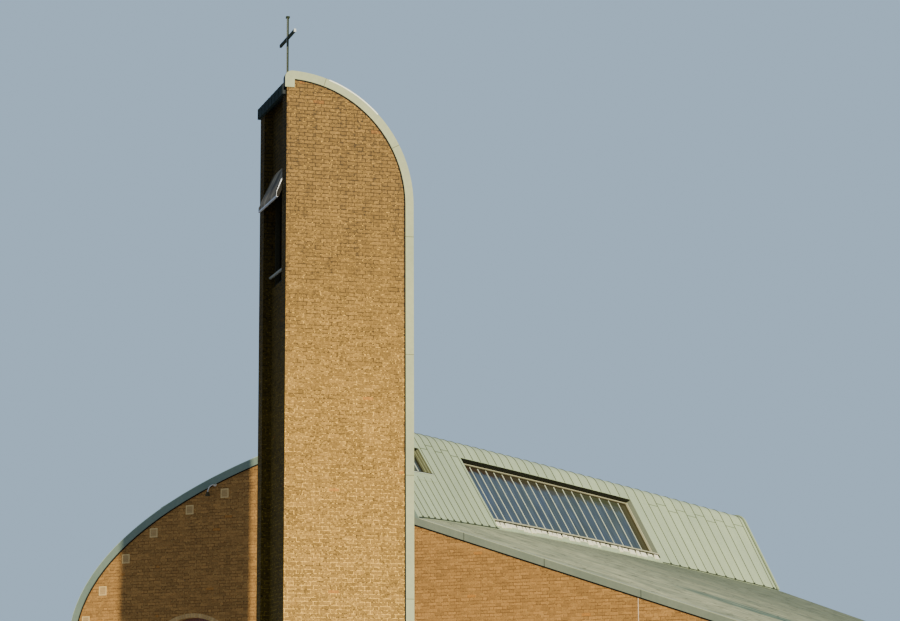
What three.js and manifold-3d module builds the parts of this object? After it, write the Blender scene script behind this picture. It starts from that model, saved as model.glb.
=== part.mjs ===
// A modern brick church with a copper roof, and its free-standing bell tower.
//
// Millimetres, +Z up. The origin is on the ground under the nave floor, about its middle, +X runs
// along the front gable to the right, and +Y runs into the church. The front gable faces -Y.
//
// The nave bends gently to the right as it goes back. Its roof section is the same all the way: a
// quarter-elliptical shell climbs from the left side wall to a rounded ridge, and a steep slope with
// two windows drops from the ridge. The foot of that slope is an arc in plan, and it stands on one
// flat, shallow lower roof that runs on down to the right side wall.

import * as THREE from "three";
import { mergeVertices } from "three/addons/utils/BufferGeometryUtils.js";
import Module from "manifold-3d";

const wasm = await Module();
wasm.setup();

// Fit: the gap kept between pieces that touch.
const GAP = 0.3;

// Nave plan. The foot of the steep slope is an arc round a point far out to the right. A section of
// the bent part is drawn where the arc is furthest left, and is carried along the arc. It sinks as
// the arc turns right, so that its foot keeps to the plane of the lower roof.
const FRONT = -11950;
const ARC_X = 36570;
const ARC_Y = FRONT + 8590;
const ARC_RADIUS = 39100;
const ARC_FROM = -9400;
const ARC_TO = 14000;
const ARC_STEPS = 20;
const RIGHT_FACE = 11250;
const WALL = 330;
const FLOOR_THICK = 150;

// Back walls: they meet at the end of the arc. The left one is square to the arc, and the one under
// the lower roof turns further.
const ARC_END = 12370;
const END_X = ARC_X - ARC_RADIUS * Math.cos(ARC_END / ARC_RADIUS);
const END_Y = ARC_Y + ARC_RADIUS * Math.sin(ARC_END / ARC_RADIUS);
const BACK_LEFT_TURN = -ARC_END / ARC_RADIUS;
const BACK_RIGHT_TURN = THREE.MathUtils.degToRad(-32.7);

// Roof section. The brickwork's left curve is part of a quarter ellipse, and the roof stands COVER
// above the brickwork and is SHELL deep in all.
const LEFT_FACE = -12021;
const ELLIPSE_X = 2250;
const ELLIPSE_Z = 5645;
const ELLIPSE_A = ELLIPSE_X - LEFT_FACE;
const ELLIPSE_B = 5484;
const ELLIPSE_STEPS = 26;
const COVER = 170;
const SHELL = 330;
const FOOT_Z = 5295;
const BASE_X = ARC_X - ARC_RADIUS;
const BASE_Z = 8365;
const RIDGE_X = BASE_X - 1371;
const RIDGE_Z = BASE_Z + 2405;
const RIDGE_RADIUS = 380;
const LOWER_PITCH = 0.336;
const EAVE_X = RIGHT_FACE + 250;
const VERGE_OVERHANG = 50;
const LOWER_OVERHANG = 160;

// Windows in the steep slope: from and to along the arc, measured from its leftmost point towards
// the back, and from and to down the slope from the ridge corner.
const LONG_WINDOW = { a0: -2720, a1: 6700, s0: 600, s1: 2465 };
const SHORT_WINDOW = { a0: -7000, a1: -5470, s0: 600, s1: 1369 };
const WINDOW_FRAME = 60;
const WINDOW_SET_BACK = 165;
const WINDOW_FRAME_DEPTH = 90;
const PANE_THICK = 24;
const FLASHING_THICK = 12;
const FLASHING_DROP = 235;

// Entrance arch in the front gable.
const ARCH_X = -7820;
const ARCH_RADIUS = 1400;
const ARCH_SPRING_Z = 4560;
const ARCH_RING = 110;
const ARCH_STEPS = 24;
const SCREEN_BACK = 150;
const SCREEN_DEPTH = 90;
const SCREEN_BAR = 100;
const TRANSOM_Z = 2350;

// Lamp near the top of the front gable.
const LAMP_X = -7400;
const LAMP_Z = 9030;

// Bell tower: two brick slabs side by side, with quarter-round tops, and brick between them.
const TOWER_X = 1389;
const TOWER_Y = FRONT - 10951;
const TOWER_TURN = Math.PI / 4;
const TOWER_WIDTH = 2415;
const TOWER_DEPTH = 2220;
const TOWER_TOP = 15540;
const TOWER_SHOULDER = 13150;
const TOWER_FLAT = 60;
const SLAB = 340;
const INFILL = 225;
const RECESS = 180;
const CLAD = 165;
const COPING_SIDE = 25;
const COPING_LEG = 190;
const COPING_LEG_IN = 150;
const COPING_LEG_DROP = 170;
const LEG_ROUND = 140;
const COPING_EDGE = 130;
const FASCIA_PROUD = 60;
const FASCIA_Z0 = 15260;
const FASCIA_Z1 = 15470;
const FASCIA_TOP_X = 300;
const TOWER_STEPS = 24;

// Bell opening in the tower's left end, and the metal hood over it.
const BELL_SILL_Z = 11700;
const BELL_HEAD_Z = 13850;
const HOOD_TOP_Z = 14000;
const HOOD_LIP_Z = 13240;
const HOOD_PROUD = 110;
const HOOD_THICK = 45;
const BELL_FRAME = 70;

// Cross on the tower.
const CROSS_X = 280;
const CROSS_BAR_SIZE = 40;
const CROSS_FOOT_Z = 15560;
const CROSS_TOP_Z = 17150;
const CROSS_ARM_Z = 16690;
const CROSS_ARM_LENGTH = 1210;

const BRICK = new THREE.MeshStandardMaterial({ color: 0xb98b52, roughness: 0.92 });
const TOWER_BRICK = new THREE.MeshStandardMaterial({ color: 0xb89469, roughness: 0.92 });
const COPPER = new THREE.MeshStandardMaterial({ color: 0xbcc0a3, roughness: 0.6, metalness: 0.2 });
const LOWER_COPPER = new THREE.MeshStandardMaterial({ color: 0xa0a58c, roughness: 0.7, metalness: 0.1 });
const TRIM = new THREE.MeshStandardMaterial({ color: 0x919682, roughness: 0.6, metalness: 0.3 });
const WHITE_METAL = new THREE.MeshStandardMaterial({ color: 0xe6e4da, roughness: 0.5, metalness: 0.1 });
const TIMBER = new THREE.MeshStandardMaterial({ color: 0x6b3f2a, roughness: 0.6 });
const GLASS = new THREE.MeshStandardMaterial({ color: 0x5a6775, roughness: 0.1, metalness: 0.1 });
const CONCRETE = new THREE.MeshStandardMaterial({ color: 0x9a9890, roughness: 0.95 });
const STEEL = new THREE.MeshStandardMaterial({ color: 0x8b8f90, roughness: 0.4, metalness: 0.8 });

const church = new THREE.Group();
const tower = new THREE.Group();
tower.position.set(TOWER_X, TOWER_Y, 0);
tower.rotation.z = TOWER_TURN;
church.add(tower);

function place(parent, name, geometry, material) {
  const mesh = new THREE.Mesh(geometry, material);
  mesh.name = name;
  parent.add(mesh);
  return mesh;
}

// Closed solid of a three.js geometry, for joins and cuts.
function solidOf(geometry) {
  const bare = geometry.clone();
  bare.deleteAttribute("normal");
  bare.deleteAttribute("uv");
  const merged = mergeVertices(bare, 1e-3);
  return new wasm.Manifold(new wasm.Mesh({
    numProp: 3,
    vertProperties: new Float32Array(merged.attributes.position.array),
    triVerts: new Uint32Array(merged.index.array),
  }));
}

function geometryOf(solid) {
  const mesh = solid.getMesh();
  const geometry = new THREE.BufferGeometry();
  geometry.setAttribute("position", new THREE.BufferAttribute(mesh.vertProperties, 3));
  geometry.setIndex(new THREE.BufferAttribute(mesh.triVerts, 1));
  geometry.computeVertexNormals();
  return geometry;
}

function box(x0, x1, y0, y1, z0, z1) {
  const geometry = new THREE.BoxGeometry(x1 - x0, y1 - y0, z1 - z0);
  geometry.translate((x0 + x1) / 2, (y0 + y1) / 2, (z0 + z1) / 2);
  return geometry;
}

function shapeOf(points) {
  return new THREE.Shape(points.map((p) => new THREE.Vector2(p[0], p[1])));
}

// Prism whose section lies in X and Z and whose length runs along Y.
function prism(shape, y0, y1) {
  const geometry = new THREE.ExtrudeGeometry(shape, { depth: y1 - y0, bevelEnabled: false, steps: 1 });
  geometry.rotateX(Math.PI / 2);
  geometry.translate(0, y1, 0);
  return geometry;
}

// Height of the lower roof's plane.
function lowerRoofZ(x) {
  return BASE_Z - LOWER_PITCH * (x - BASE_X);
}

function ellipsePoint(angle, out) {
  const normal = new THREE.Vector2(Math.cos(angle) / ELLIPSE_A, Math.sin(angle) / ELLIPSE_B).normalize();
  return [
    ELLIPSE_X + ELLIPSE_A * Math.cos(angle) + out * normal.x,
    ELLIPSE_Z + ELLIPSE_B * Math.sin(angle) + out * normal.y,
  ];
}

// Outer line of the roof's section, from the left foot past the steep slope's foot. crest is the
// index of the ridge's highest point, and round that of the last point of the ridge's curve.
function roofLine() {
  const points = [[LEFT_FACE - COVER, FOOT_Z]];
  const corner = new THREE.Vector2(RIDGE_X, RIDGE_Z);
  const cosEnd = (RIDGE_X - ELLIPSE_X) / ELLIPSE_A;
  const slope = (-ELLIPSE_B / ELLIPSE_A) * (cosEnd / Math.sqrt(1 - cosEnd * cosEnd));
  const up = new THREE.Vector2(1, slope).normalize();
  const down = new THREE.Vector2(BASE_X - RIDGE_X, BASE_Z - RIDGE_Z).normalize();
  const turn = Math.acos(up.dot(down));
  const reach = RIDGE_RADIUS * Math.tan(turn / 2);
  const start = corner.clone().addScaledVector(up, -reach);
  const endAngle = Math.acos((start.x - ELLIPSE_X) / ELLIPSE_A);
  for (let i = 0; i < ELLIPSE_STEPS; i += 1) {
    points.push(ellipsePoint(Math.PI - ((Math.PI - endAngle) * i) / ELLIPSE_STEPS, COVER));
  }
  const centre = start.clone().add(new THREE.Vector2(up.y, -up.x).multiplyScalar(RIDGE_RADIUS));
  const first = Math.atan2(up.x, -up.y);
  const arcSteps = 6;
  let crest = 0;
  for (let i = 0; i <= arcSteps; i += 1) {
    const angle = first - (turn * i) / arcSteps;
    points.push([centre.x + RIDGE_RADIUS * Math.cos(angle), centre.y + RIDGE_RADIUS * Math.sin(angle)]);
    if (points[points.length - 1][1] >= points[crest][1]) {
      crest = points.length - 1;
    }
  }
  const round = points.length - 1;
  points.push([BASE_X, BASE_Z], [EAVE_X, lowerRoofZ(EAVE_X)]);
  return { points, crest, round };
}

// The roof line moved inwards by a depth, with mitred corners.
function inset(points, depth) {
  return points.map((point, i) => {
    const here = new THREE.Vector2(...point);
    const before = i > 0 ? new THREE.Vector2(...points[i - 1]) : null;
    const after = i < points.length - 1 ? new THREE.Vector2(...points[i + 1]) : null;
    const inDir = before ? here.clone().sub(before).normalize() : after.clone().sub(here).normalize();
    const outDir = after ? after.clone().sub(here).normalize() : inDir;
    const normalIn = new THREE.Vector2(inDir.y, -inDir.x);
    const normalOut = new THREE.Vector2(outDir.y, -outDir.x);
    const mitre = normalIn.clone().add(normalOut);
    const length = (2 * depth) / mitre.lengthSq();
    return [here.x + mitre.x * length, here.y + mitre.y * length];
  });
}

// Point of the steep slope's section: s down the slope from the ridge corner, d inwards from its face.
const SLOPE_DIR = new THREE.Vector2(BASE_X - RIDGE_X, BASE_Z - RIDGE_Z);
const SLOPE_LENGTH = SLOPE_DIR.length();
SLOPE_DIR.normalize();

function onSlope(s, d) {
  return [
    RIDGE_X + SLOPE_DIR.x * s + SLOPE_DIR.y * d,
    RIDGE_Z + SLOPE_DIR.y * s - SLOPE_DIR.x * d,
  ];
}

function slopePart(s0, s1, d0, d1) {
  return [onSlope(s0, d0), onSlope(s1, d0), onSlope(s1, d1), onSlope(s0, d1)];
}

// Place in plan of a section's X at a distance along the arc.
function arcPoint(x, along) {
  const turn = along / ARC_RADIUS;
  const radius = ARC_X - x;
  return [ARC_X - radius * Math.cos(turn), ARC_Y + radius * Math.sin(turn)];
}

// Solid of a section carried along the whole arc. Unless it is level it sinks by the lower roof's
// pitch as it moves right, which keeps every facet flat.
function sweep(outline, level) {
  const geometry = new THREE.ExtrudeGeometry(shapeOf(outline),
    { depth: ARC_TO - ARC_FROM, bevelEnabled: false, steps: ARC_STEPS });
  geometry.rotateX(Math.PI / 2);
  geometry.translate(0, ARC_TO, 0);
  return solidOf(geometry).warp((v) => {
    const [x, y] = arcPoint(v[0], v[1]);
    v[2] -= level ? 0 : LOWER_PITCH * (x - v[0]);
    v[0] = x;
    v[1] = y;
  });
}

// Upright block over an outline in plan.
function upright(outline, z0, z1) {
  const geometry = new THREE.ExtrudeGeometry(shapeOf(outline), { depth: z1 - z0, bevelEnabled: false });
  geometry.translate(0, 0, z0);
  return solidOf(geometry);
}

// Part of the nave between two distances along the arc, cut square to the arc.
function sector(a0, a1) {
  const centre = [ARC_X, ARC_Y];
  return upright([centre, arcPoint(-20000, a1), arcPoint(-20000, a0)], -3000, 20000);
}

// Everything in front of a back wall's outer face, less a distance.
function before(turn, back) {
  const along = [Math.cos(turn), Math.sin(turn)];
  const x = END_X + along[1] * back;
  const y = END_Y - along[0] * back;
  const reach = 60000;
  const corners = [
    [x - along[0] * reach, y - along[1] * reach],
    [x + along[0] * reach, y + along[1] * reach],
  ];
  return upright([
    corners[0],
    [corners[0][0] + along[1] * reach, corners[0][1] - along[0] * reach],
    [corners[1][0] + along[1] * reach, corners[1][1] - along[0] * reach],
    corners[1],
  ], -3000, 20000);
}

function solidBox(...sides) {
  return solidOf(box(...sides));
}

const FAR = 60000;
const behindGable = solidBox(-FAR, FAR, FRONT + WALL + GAP, FAR, 0, 20000);
const gableZone = solidBox(-FAR, FAR, FRONT, FRONT + WALL, 0, 20000);
const gableEdge = solidBox(-FAR, FAR, FRONT - VERGE_OVERHANG, FRONT + WALL, 0, 20000);
const shellZone = behindGable.intersect(before(BACK_LEFT_TURN, WALL + GAP));
const backZone = before(BACK_LEFT_TURN, 0).subtract(before(BACK_LEFT_TURN, WALL))
  .intersect(solidBox(-FAR, FAR, 0, FAR, 0, 20000));
const backEdge = before(BACK_LEFT_TURN, -VERGE_OVERHANG).subtract(before(BACK_LEFT_TURN, WALL));
const lowerZone = before(BACK_RIGHT_TURN, -LOWER_OVERHANG);
const insideRight = before(BACK_RIGHT_TURN, WALL + GAP);

// Everything under the lower roof's plane, less a depth.
function underLower(depth, x0, x1) {
  const drop = depth * Math.hypot(1, LOWER_PITCH);
  return solidOf(prism(shapeOf([
    [x0, -1000],
    [x1, -1000],
    [x1, lowerRoofZ(x1) - drop],
    [x0, lowerRoofZ(x0) - drop],
  ]), FRONT - 2000, FRONT + 40000));
}

// Floor: a concrete slab inside the walls.
const innerLeft = LEFT_FACE + WALL + GAP;
const floorPlan = sweep([[innerLeft, 0], [20000, 0], [20000, FLOOR_THICK], [innerLeft, FLOOR_THICK]], true);
place(church, "floor_slab", geometryOf(floorPlan.intersect(shellZone).intersect(insideRight)
  .intersect(solidBox(-FAR, RIGHT_FACE - WALL - GAP, -FAR, FAR, -10, 20000))), CONCRETE);

// Gable walls: brickwork up to the underside of the copings. The front one runs on under the lower
// roof. The joint between the steep slope and the lower roof halves the angle between them.
const LINE = roofLine();
const EDGE = inset(LINE.points, COVER);
const UNDER = inset(LINE.points, SHELL);
const FOOT = LINE.points.length - 2;
const mitre = [UNDER[FOOT][0] - BASE_X, UNDER[FOOT][1] - BASE_Z];

function steepSide(gap) {
  return sweep([
    [BASE_X + gap - mitre[0] * 8, BASE_Z - mitre[1] * 8],
    [BASE_X - 9000, BASE_Z - mitre[1] * 8],
    [BASE_X - 9000, BASE_Z + mitre[1] * 8],
    [BASE_X + gap + mitre[0] * 8, BASE_Z + mitre[1] * 8],
  ]);
}

// Outline of all that lies under a roof line, from the left side to the steep slope's foot.
function bodyOutline(line) {
  return [[line[0][0], -1000], ...line.slice(0, FOOT + 1), [line[FOOT][0], -1000]];
}

const bentBody = sweep(bodyOutline(EDGE));

// Arched outline of a given radius about the entrance's centre line.
function archShape(radius, half, foot) {
  const points = [[ARCH_X - half, foot], [ARCH_X + half, foot]];
  if (half !== radius) {
    points.push([ARCH_X + half, ARCH_SPRING_Z]);
  }
  for (let i = 0; i <= ARCH_STEPS; i += 1) {
    const angle = (Math.PI * i) / ARCH_STEPS;
    points.push([ARCH_X + radius * Math.cos(angle), ARCH_SPRING_Z + radius * Math.sin(angle)]);
  }
  if (half !== radius) {
    points.push([ARCH_X - half, ARCH_SPRING_Z]);
  }
  return shapeOf(points);
}

const doorway = solidOf(prism(archShape(ARCH_RADIUS + ARCH_RING + GAP, ARCH_RADIUS, -500),
  FRONT - 100, FRONT + 500));
const gableRight = underLower(COVER, -2300, RIGHT_FACE);
const lowerCap = underLower(-500, BASE_X - 700, EAVE_X).subtract(underLower(COVER, -9000, EAVE_X + 10))
  .subtract(steepSide(GAP));
place(church, "front_gable_wall", geometryOf(bentBody.add(gableRight).subtract(lowerCap)
  .intersect(gableZone).subtract(doorway)), BRICK);
place(church, "back_gable_wall", geometryOf(bentBody.intersect(backZone)), BRICK);

// Side walls, under the left roof shell's foot and under the lower roof.
place(church, "left_side_wall", geometryOf(sweep([
  [LEFT_FACE, -1000],
  [LEFT_FACE + WALL, -1000],
  [LEFT_FACE + WALL, FOOT_Z - GAP],
  [LEFT_FACE, FOOT_Z - GAP],
]).intersect(shellZone)), BRICK);
const underRoof = underLower(SHELL + 2 * GAP, -8000, RIGHT_FACE).intersect(behindGable);
const rightStrip = solidBox(RIGHT_FACE - WALL, RIGHT_FACE, -FAR, FAR, 0, 20000);
place(church, "right_side_wall", geometryOf(underRoof.intersect(rightStrip)
  .intersect(before(BACK_RIGHT_TURN, 0))), BRICK);

// Back wall under the lower roof, from the end of the arc to the right side wall.
const pastArc = sweep([[-20000, -3000], [EDGE[FOOT][0] + GAP, -3000], [EDGE[FOOT][0] + GAP, 30000],
  [-20000, 30000]]);
place(church, "back_right_wall", geometryOf(underRoof.intersect(before(BACK_RIGHT_TURN, 0))
  .subtract(before(BACK_RIGHT_TURN, WALL)).subtract(pastArc)
  .intersect(solidBox(END_X - 800, RIGHT_FACE - WALL - GAP, -FAR, FAR, 0, 20000))), BRICK);

// Roof shells between the gables.
const crestOut = LINE.points[LINE.crest];
const crestIn = UNDER[LINE.crest];
const leftShell = sweep([
  ...LINE.points.slice(0, LINE.crest),
  [crestOut[0] - GAP, crestOut[1]],
  [crestIn[0] - GAP, crestIn[1]],
  ...UNDER.slice(0, LINE.crest).reverse(),
]);
place(church, "left_roof_shell", geometryOf(leftShell.intersect(shellZone)), COPPER);
const S_TOP = LONG_WINDOW.s0;
const S_SILL = LONG_WINDOW.s1;
place(church, "ridge_roof", geometryOf(sweep([
  ...LINE.points.slice(LINE.crest, LINE.round + 1),
  onSlope(S_TOP, 0),
  onSlope(S_TOP, SHELL),
  ...UNDER.slice(LINE.crest, LINE.round + 1).reverse(),
]).intersect(shellZone)), COPPER);
place(church, "slope_foot_roof", geometryOf(sweep([
  onSlope(S_SILL, 0),
  [BASE_X, BASE_Z],
  UNDER[FOOT],
  onSlope(S_SILL, SHELL),
]).intersect(shellZone)), COPPER);
const panel = sweep(slopePart(S_TOP + GAP, S_SILL - GAP, 0, SHELL)).intersect(shellZone);
const shortHole = sweep(slopePart(S_TOP - 50, SHORT_WINDOW.s1, -100, SHELL + 100))
  .intersect(sector(SHORT_WINDOW.a0, SHORT_WINDOW.a1));
place(church, "front_slope_roof", geometryOf(panel.intersect(sector(ARC_FROM - 500, LONG_WINDOW.a0))
  .subtract(shortHole)), COPPER);
place(church, "back_slope_roof", geometryOf(panel.intersect(sector(LONG_WINDOW.a1, ARC_TO + 500))), COPPER);

// Lower roof: a flat slab that stops a gap short of the steep slope's foot.
const lowerSlab = underLower(0, BASE_X - 700, EAVE_X).subtract(underLower(SHELL, -9000, EAVE_X + 10))
  .subtract(steepSide(2 * GAP)).intersect(lowerZone)
  .subtract(pastArc.subtract(before(BACK_LEFT_TURN, WALL + GAP)));
place(church, "lower_roof", geometryOf(lowerSlab.intersect(behindGable)), LOWER_COPPER);

// Eave board along the end of the lower roof.
const eaveZ = lowerRoofZ(EAVE_X);
place(church, "eave_board", geometryOf(solidBox(EAVE_X + GAP, EAVE_X + 35,
  FRONT - VERGE_OVERHANG, FAR, eaveZ - 330, eaveZ + 5).intersect(lowerZone)), TRIM);

// Copings: the roof's edge carried out over the two gables, down to a gap above the brickwork.
const CAPPED = inset(LINE.points, COVER - GAP);
const underCoping = sweep(bodyOutline(CAPPED));
const copingLeft = leftShell.subtract(underCoping);
const copingRidge = sweep([
  ...LINE.points.slice(LINE.crest, FOOT + 1),
  ...UNDER.slice(LINE.crest, FOOT + 1).reverse(),
]).subtract(underCoping);
const copingLower = underLower(0, BASE_X - 700, EAVE_X)
  .subtract(underLower(COVER - GAP, -9000, EAVE_X + 10));
place(church, "front_coping_left", geometryOf(copingLeft.intersect(gableEdge)), TRIM);
place(church, "front_coping_ridge", geometryOf(copingRidge.intersect(gableEdge)), TRIM);
place(church, "front_coping_right", geometryOf(copingLower.subtract(steepSide(2 * GAP))
  .intersect(gableEdge)), TRIM);
place(church, "back_coping_left", geometryOf(copingLeft.intersect(backEdge)), TRIM);
place(church, "back_coping_ridge", geometryOf(copingRidge.intersect(backEdge)), TRIM);

// Windows of the steep slope: a frame, one pane behind its front lip, and a flashing under the sill.
function slopeWindow(name, w) {
  const f = WINDOW_FRAME;
  const d0 = WINDOW_SET_BACK;
  const d1 = WINDOW_SET_BACK + WINDOW_FRAME_DEPTH;
  const p0 = d0 + 35;
  const t = FLASHING_THICK;
  const outer = sweep(slopePart(w.s0 + GAP, w.s1 - GAP, d0, d1)).intersect(sector(w.a0 + GAP, w.a1 - GAP));
  const hole = sweep(slopePart(w.s0 + f, w.s1 - f, d0 - 50, d1 + 50)).intersect(sector(w.a0 + f, w.a1 - f));
  place(church, `${name}_frame`, geometryOf(outer.subtract(hole)), TRIM);
  const sheet = sweep(slopePart(w.s0 + f + GAP, w.s1 - f - GAP, p0, p0 + PANE_THICK));
  place(church, `${name}_pane`, geometryOf(sheet
    .intersect(sector(w.a0 + f + GAP, w.a1 - f - GAP))), GLASS);
  place(church, `${name}_sill_flashing`, geometryOf(sweep([
    onSlope(w.s1 - GAP - t, -t),
    onSlope(w.s1 + FLASHING_DROP, -t),
    onSlope(w.s1 + FLASHING_DROP, -GAP),
    onSlope(w.s1 - GAP, -GAP),
    onSlope(w.s1 - GAP, d0 - GAP),
    onSlope(w.s1 - GAP - t, d0 - GAP),
  ]).intersect(sector(w.a0 + GAP, w.a1 - GAP))), WHITE_METAL);
}

slopeWindow("long_window", LONG_WINDOW);
slopeWindow("short_window", SHORT_WINDOW);

// Entrance: a ring of bricks on end round the arch, and a timber screen with doors and glass.
const ringOuter = solidOf(prism(archShape(ARCH_RADIUS + ARCH_RING, ARCH_RADIUS + ARCH_RING, 0),
  FRONT, FRONT + WALL)).intersect(solidOf(box(-20000, 20000, FRONT - 500, FRONT + 500,
  ARCH_SPRING_Z + GAP, 20000)));
const ringInner = solidOf(prism(archShape(ARCH_RADIUS, ARCH_RADIUS, -500), FRONT - 50, FRONT + 500));
place(church, "entrance_arch_ring", geometryOf(ringOuter.subtract(ringInner)), BRICK);

const SCREEN_Y0 = FRONT + SCREEN_BACK;
const SCREEN_Y1 = SCREEN_Y0 + SCREEN_DEPTH;
const screenRadius = ARCH_RADIUS - GAP;
let screen = solidOf(prism(archShape(screenRadius, screenRadius, 0), SCREEN_Y0, SCREEN_Y1));
const lightShape = solidOf(prism(archShape(screenRadius - SCREEN_BAR, screenRadius - SCREEN_BAR,
  SCREEN_BAR), SCREEN_Y0 - 20, SCREEN_Y1 + 20));
const bars = solidOf(box(ARCH_X - SCREEN_BAR / 2, ARCH_X + SCREEN_BAR / 2,
  SCREEN_Y0 - 30, SCREEN_Y1 + 30, 0, 6000))
  .add(solidOf(box(ARCH_X - 2000, ARCH_X + 2000, SCREEN_Y0 - 30, SCREEN_Y1 + 30,
    TRANSOM_Z, TRANSOM_Z + SCREEN_BAR)));
screen = screen.subtract(lightShape.subtract(bars));
place(church, "entrance_screen", geometryOf(screen), TIMBER);
place(church, "entrance_glass", prism(archShape(screenRadius, screenRadius, 0),
  SCREEN_Y1 + GAP, SCREEN_Y1 + GAP + PANE_THICK), GLASS);

// Lamp: a bulkhead on a short bracket.
const lampBody = solidBox(LAMP_X - 70, LAMP_X + 70, FRONT - 150, FRONT - 60, LAMP_Z - 110, LAMP_Z + 110);
const lampBracket = solidBox(LAMP_X - 35, LAMP_X + 35, FRONT - 70, FRONT - GAP, LAMP_Z - 90, LAMP_Z + 10);
place(church, "wall_lamp", geometryOf(lampBody.add(lampBracket)), STEEL);

// Points of the tower's quarter-round top, grown outwards by a distance.
function towerTop(out, flatX) {
  const points = [];
  const a = TOWER_WIDTH - TOWER_FLAT + out;
  const b = TOWER_TOP - TOWER_SHOULDER + out;
  for (let i = 0; i <= TOWER_STEPS; i += 1) {
    const angle = (Math.PI / 2) * (i / TOWER_STEPS);
    points.push([TOWER_FLAT + a * Math.cos(angle), TOWER_SHOULDER + b * Math.sin(angle)]);
  }
  return points.filter((p) => p[0] > flatX + 1);
}

const LEG_Z = TOWER_TOP - COPING_LEG_DROP;
const slabOutline = [
  [0, 0],
  [TOWER_WIDTH, 0],
  ...towerTop(0, COPING_LEG_IN),
  [COPING_LEG_IN, TOWER_TOP - 2],
  [COPING_LEG_IN, LEG_Z],
  [0, LEG_Z],
];
place(tower, "tower_front_slab", prism(shapeOf(slabOutline), 0, SLAB), TOWER_BRICK);
place(tower, "tower_back_slab", prism(shapeOf(slabOutline), TOWER_DEPTH - SLAB, TOWER_DEPTH), TOWER_BRICK);

// Brickwork between the slabs: recessed at the left end, with the bell opening, and closed at the right.
const INNER_Y0 = SLAB + GAP;
const INNER_Y1 = TOWER_DEPTH - SLAB - GAP;
place(tower, "tower_infill_below_bell", box(RECESS, RECESS + INFILL, INNER_Y0, INNER_Y1, 0, BELL_SILL_Z),
  TOWER_BRICK);
place(tower, "tower_infill_above_bell", box(RECESS, RECESS + INFILL, INNER_Y0, INNER_Y1,
  BELL_HEAD_Z, TOWER_TOP - 40), TOWER_BRICK);
place(tower, "tower_right_infill", box(TOWER_WIDTH - INFILL, TOWER_WIDTH, INNER_Y0, INNER_Y1,
  0, TOWER_SHOULDER - 20), TOWER_BRICK);

// Metal coping over the quarter-round top. Its front edge stands up and turns down over the left end
// in a rounded leg. Behind that, the left end is lower and slopes up, over a fascia.
const leg = COPING_LEG_IN - COPING_LEG;
const copingUnder = [
  [COPING_LEG_IN - GAP, LEG_Z + GAP],
  [COPING_LEG_IN - GAP, TOWER_TOP + GAP],
  ...towerTop(GAP * 2, COPING_LEG_IN).reverse(),
  ...towerTop(CLAD, LEG_ROUND),
];
const edgeOutline = [[leg, LEG_Z + GAP], ...copingUnder];
for (let i = 0; i <= 4; i += 1) {
  const angle = Math.PI / 2 + (Math.PI * i) / 8;
  edgeOutline.push([
    leg + LEG_ROUND + LEG_ROUND * Math.cos(angle),
    TOWER_TOP + CLAD - LEG_ROUND + LEG_ROUND * Math.sin(angle),
  ]);
}
const fasciaOutline = [
  [-FASCIA_PROUD, FASCIA_Z0],
  [-GAP, FASCIA_Z0],
  [-GAP, LEG_Z + GAP],
  ...copingUnder.filter((p) => p[0] > FASCIA_TOP_X || p[1] < TOWER_TOP + 50),
  [FASCIA_TOP_X, TOWER_TOP + CLAD],
  [-FASCIA_PROUD, FASCIA_Z1],
];
const copingEdge = solidOf(prism(shapeOf(edgeOutline), -COPING_SIDE, COPING_EDGE));
const copingBody = solidOf(prism(shapeOf(fasciaOutline), COPING_EDGE - 20, TOWER_DEPTH + COPING_SIDE));
const half = CROSS_BAR_SIZE / 2;
const socket = solidOf(box(CROSS_X - half - GAP, CROSS_X + half + GAP, TOWER_DEPTH / 2 - half - GAP,
  TOWER_DEPTH / 2 + half + GAP, CROSS_FOOT_Z - GAP, 16000));
place(tower, "tower_coping", geometryOf(copingEdge.add(copingBody).subtract(socket)), TRIM);
place(tower, "tower_end_cladding", box(TOWER_WIDTH + GAP, TOWER_WIDTH + CLAD, -COPING_SIDE,
  TOWER_DEPTH + COPING_SIDE, 0, TOWER_SHOULDER - GAP), TRIM);

// Bell opening: a metal frame, a rail, and a sloping hood between the slabs.
const bellFrameX0 = RECESS + 60;
const bellFrameX1 = bellFrameX0 + 80;
const bellOuter = solidOf(box(bellFrameX0, bellFrameX1, INNER_Y0 + GAP, INNER_Y1 - GAP,
  BELL_SILL_Z + GAP, BELL_HEAD_Z - GAP));
const bellHole = solidOf(box(bellFrameX0 - 20, bellFrameX1 + 20, INNER_Y0 + BELL_FRAME,
  INNER_Y1 - BELL_FRAME, BELL_SILL_Z + BELL_FRAME, BELL_HEAD_Z - BELL_FRAME));
place(tower, "bell_opening_frame", geometryOf(bellOuter.subtract(bellHole)), TRIM);
place(tower, "bell_opening_rail", box(RECESS - 60, RECESS - 20, INNER_Y0, INNER_Y1,
  BELL_SILL_Z + 180, BELL_SILL_Z + 220), TRIM);
const hoodOutline = [
  [-HOOD_PROUD, HOOD_LIP_Z],
  [-HOOD_PROUD + HOOD_THICK, HOOD_LIP_Z],
  [RECESS - GAP, HOOD_TOP_Z - 160],
  [RECESS - GAP, HOOD_TOP_Z],
  [-HOOD_PROUD, HOOD_LIP_Z + 90],
];
place(tower, "bell_hood", prism(shapeOf(hoodOutline), INNER_Y0, INNER_Y1), TRIM);

// Cross: a square post let into the coping, and an arm along the tower's depth through its front.
const mid = TOWER_DEPTH / 2;
const arm = solidOf(box(CROSS_X - half, CROSS_X + half, mid - CROSS_ARM_LENGTH / 2,
  mid + CROSS_ARM_LENGTH / 2, CROSS_ARM_Z - 30, CROSS_ARM_Z + 30));
const post = solidOf(box(CROSS_X - half, CROSS_X + half, mid - half, mid + half,
  CROSS_FOOT_Z, CROSS_TOP_Z));
place(tower, "cross", geometryOf(post.add(arm)), STEEL);

export default church;
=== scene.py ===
import math
import random

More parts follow.
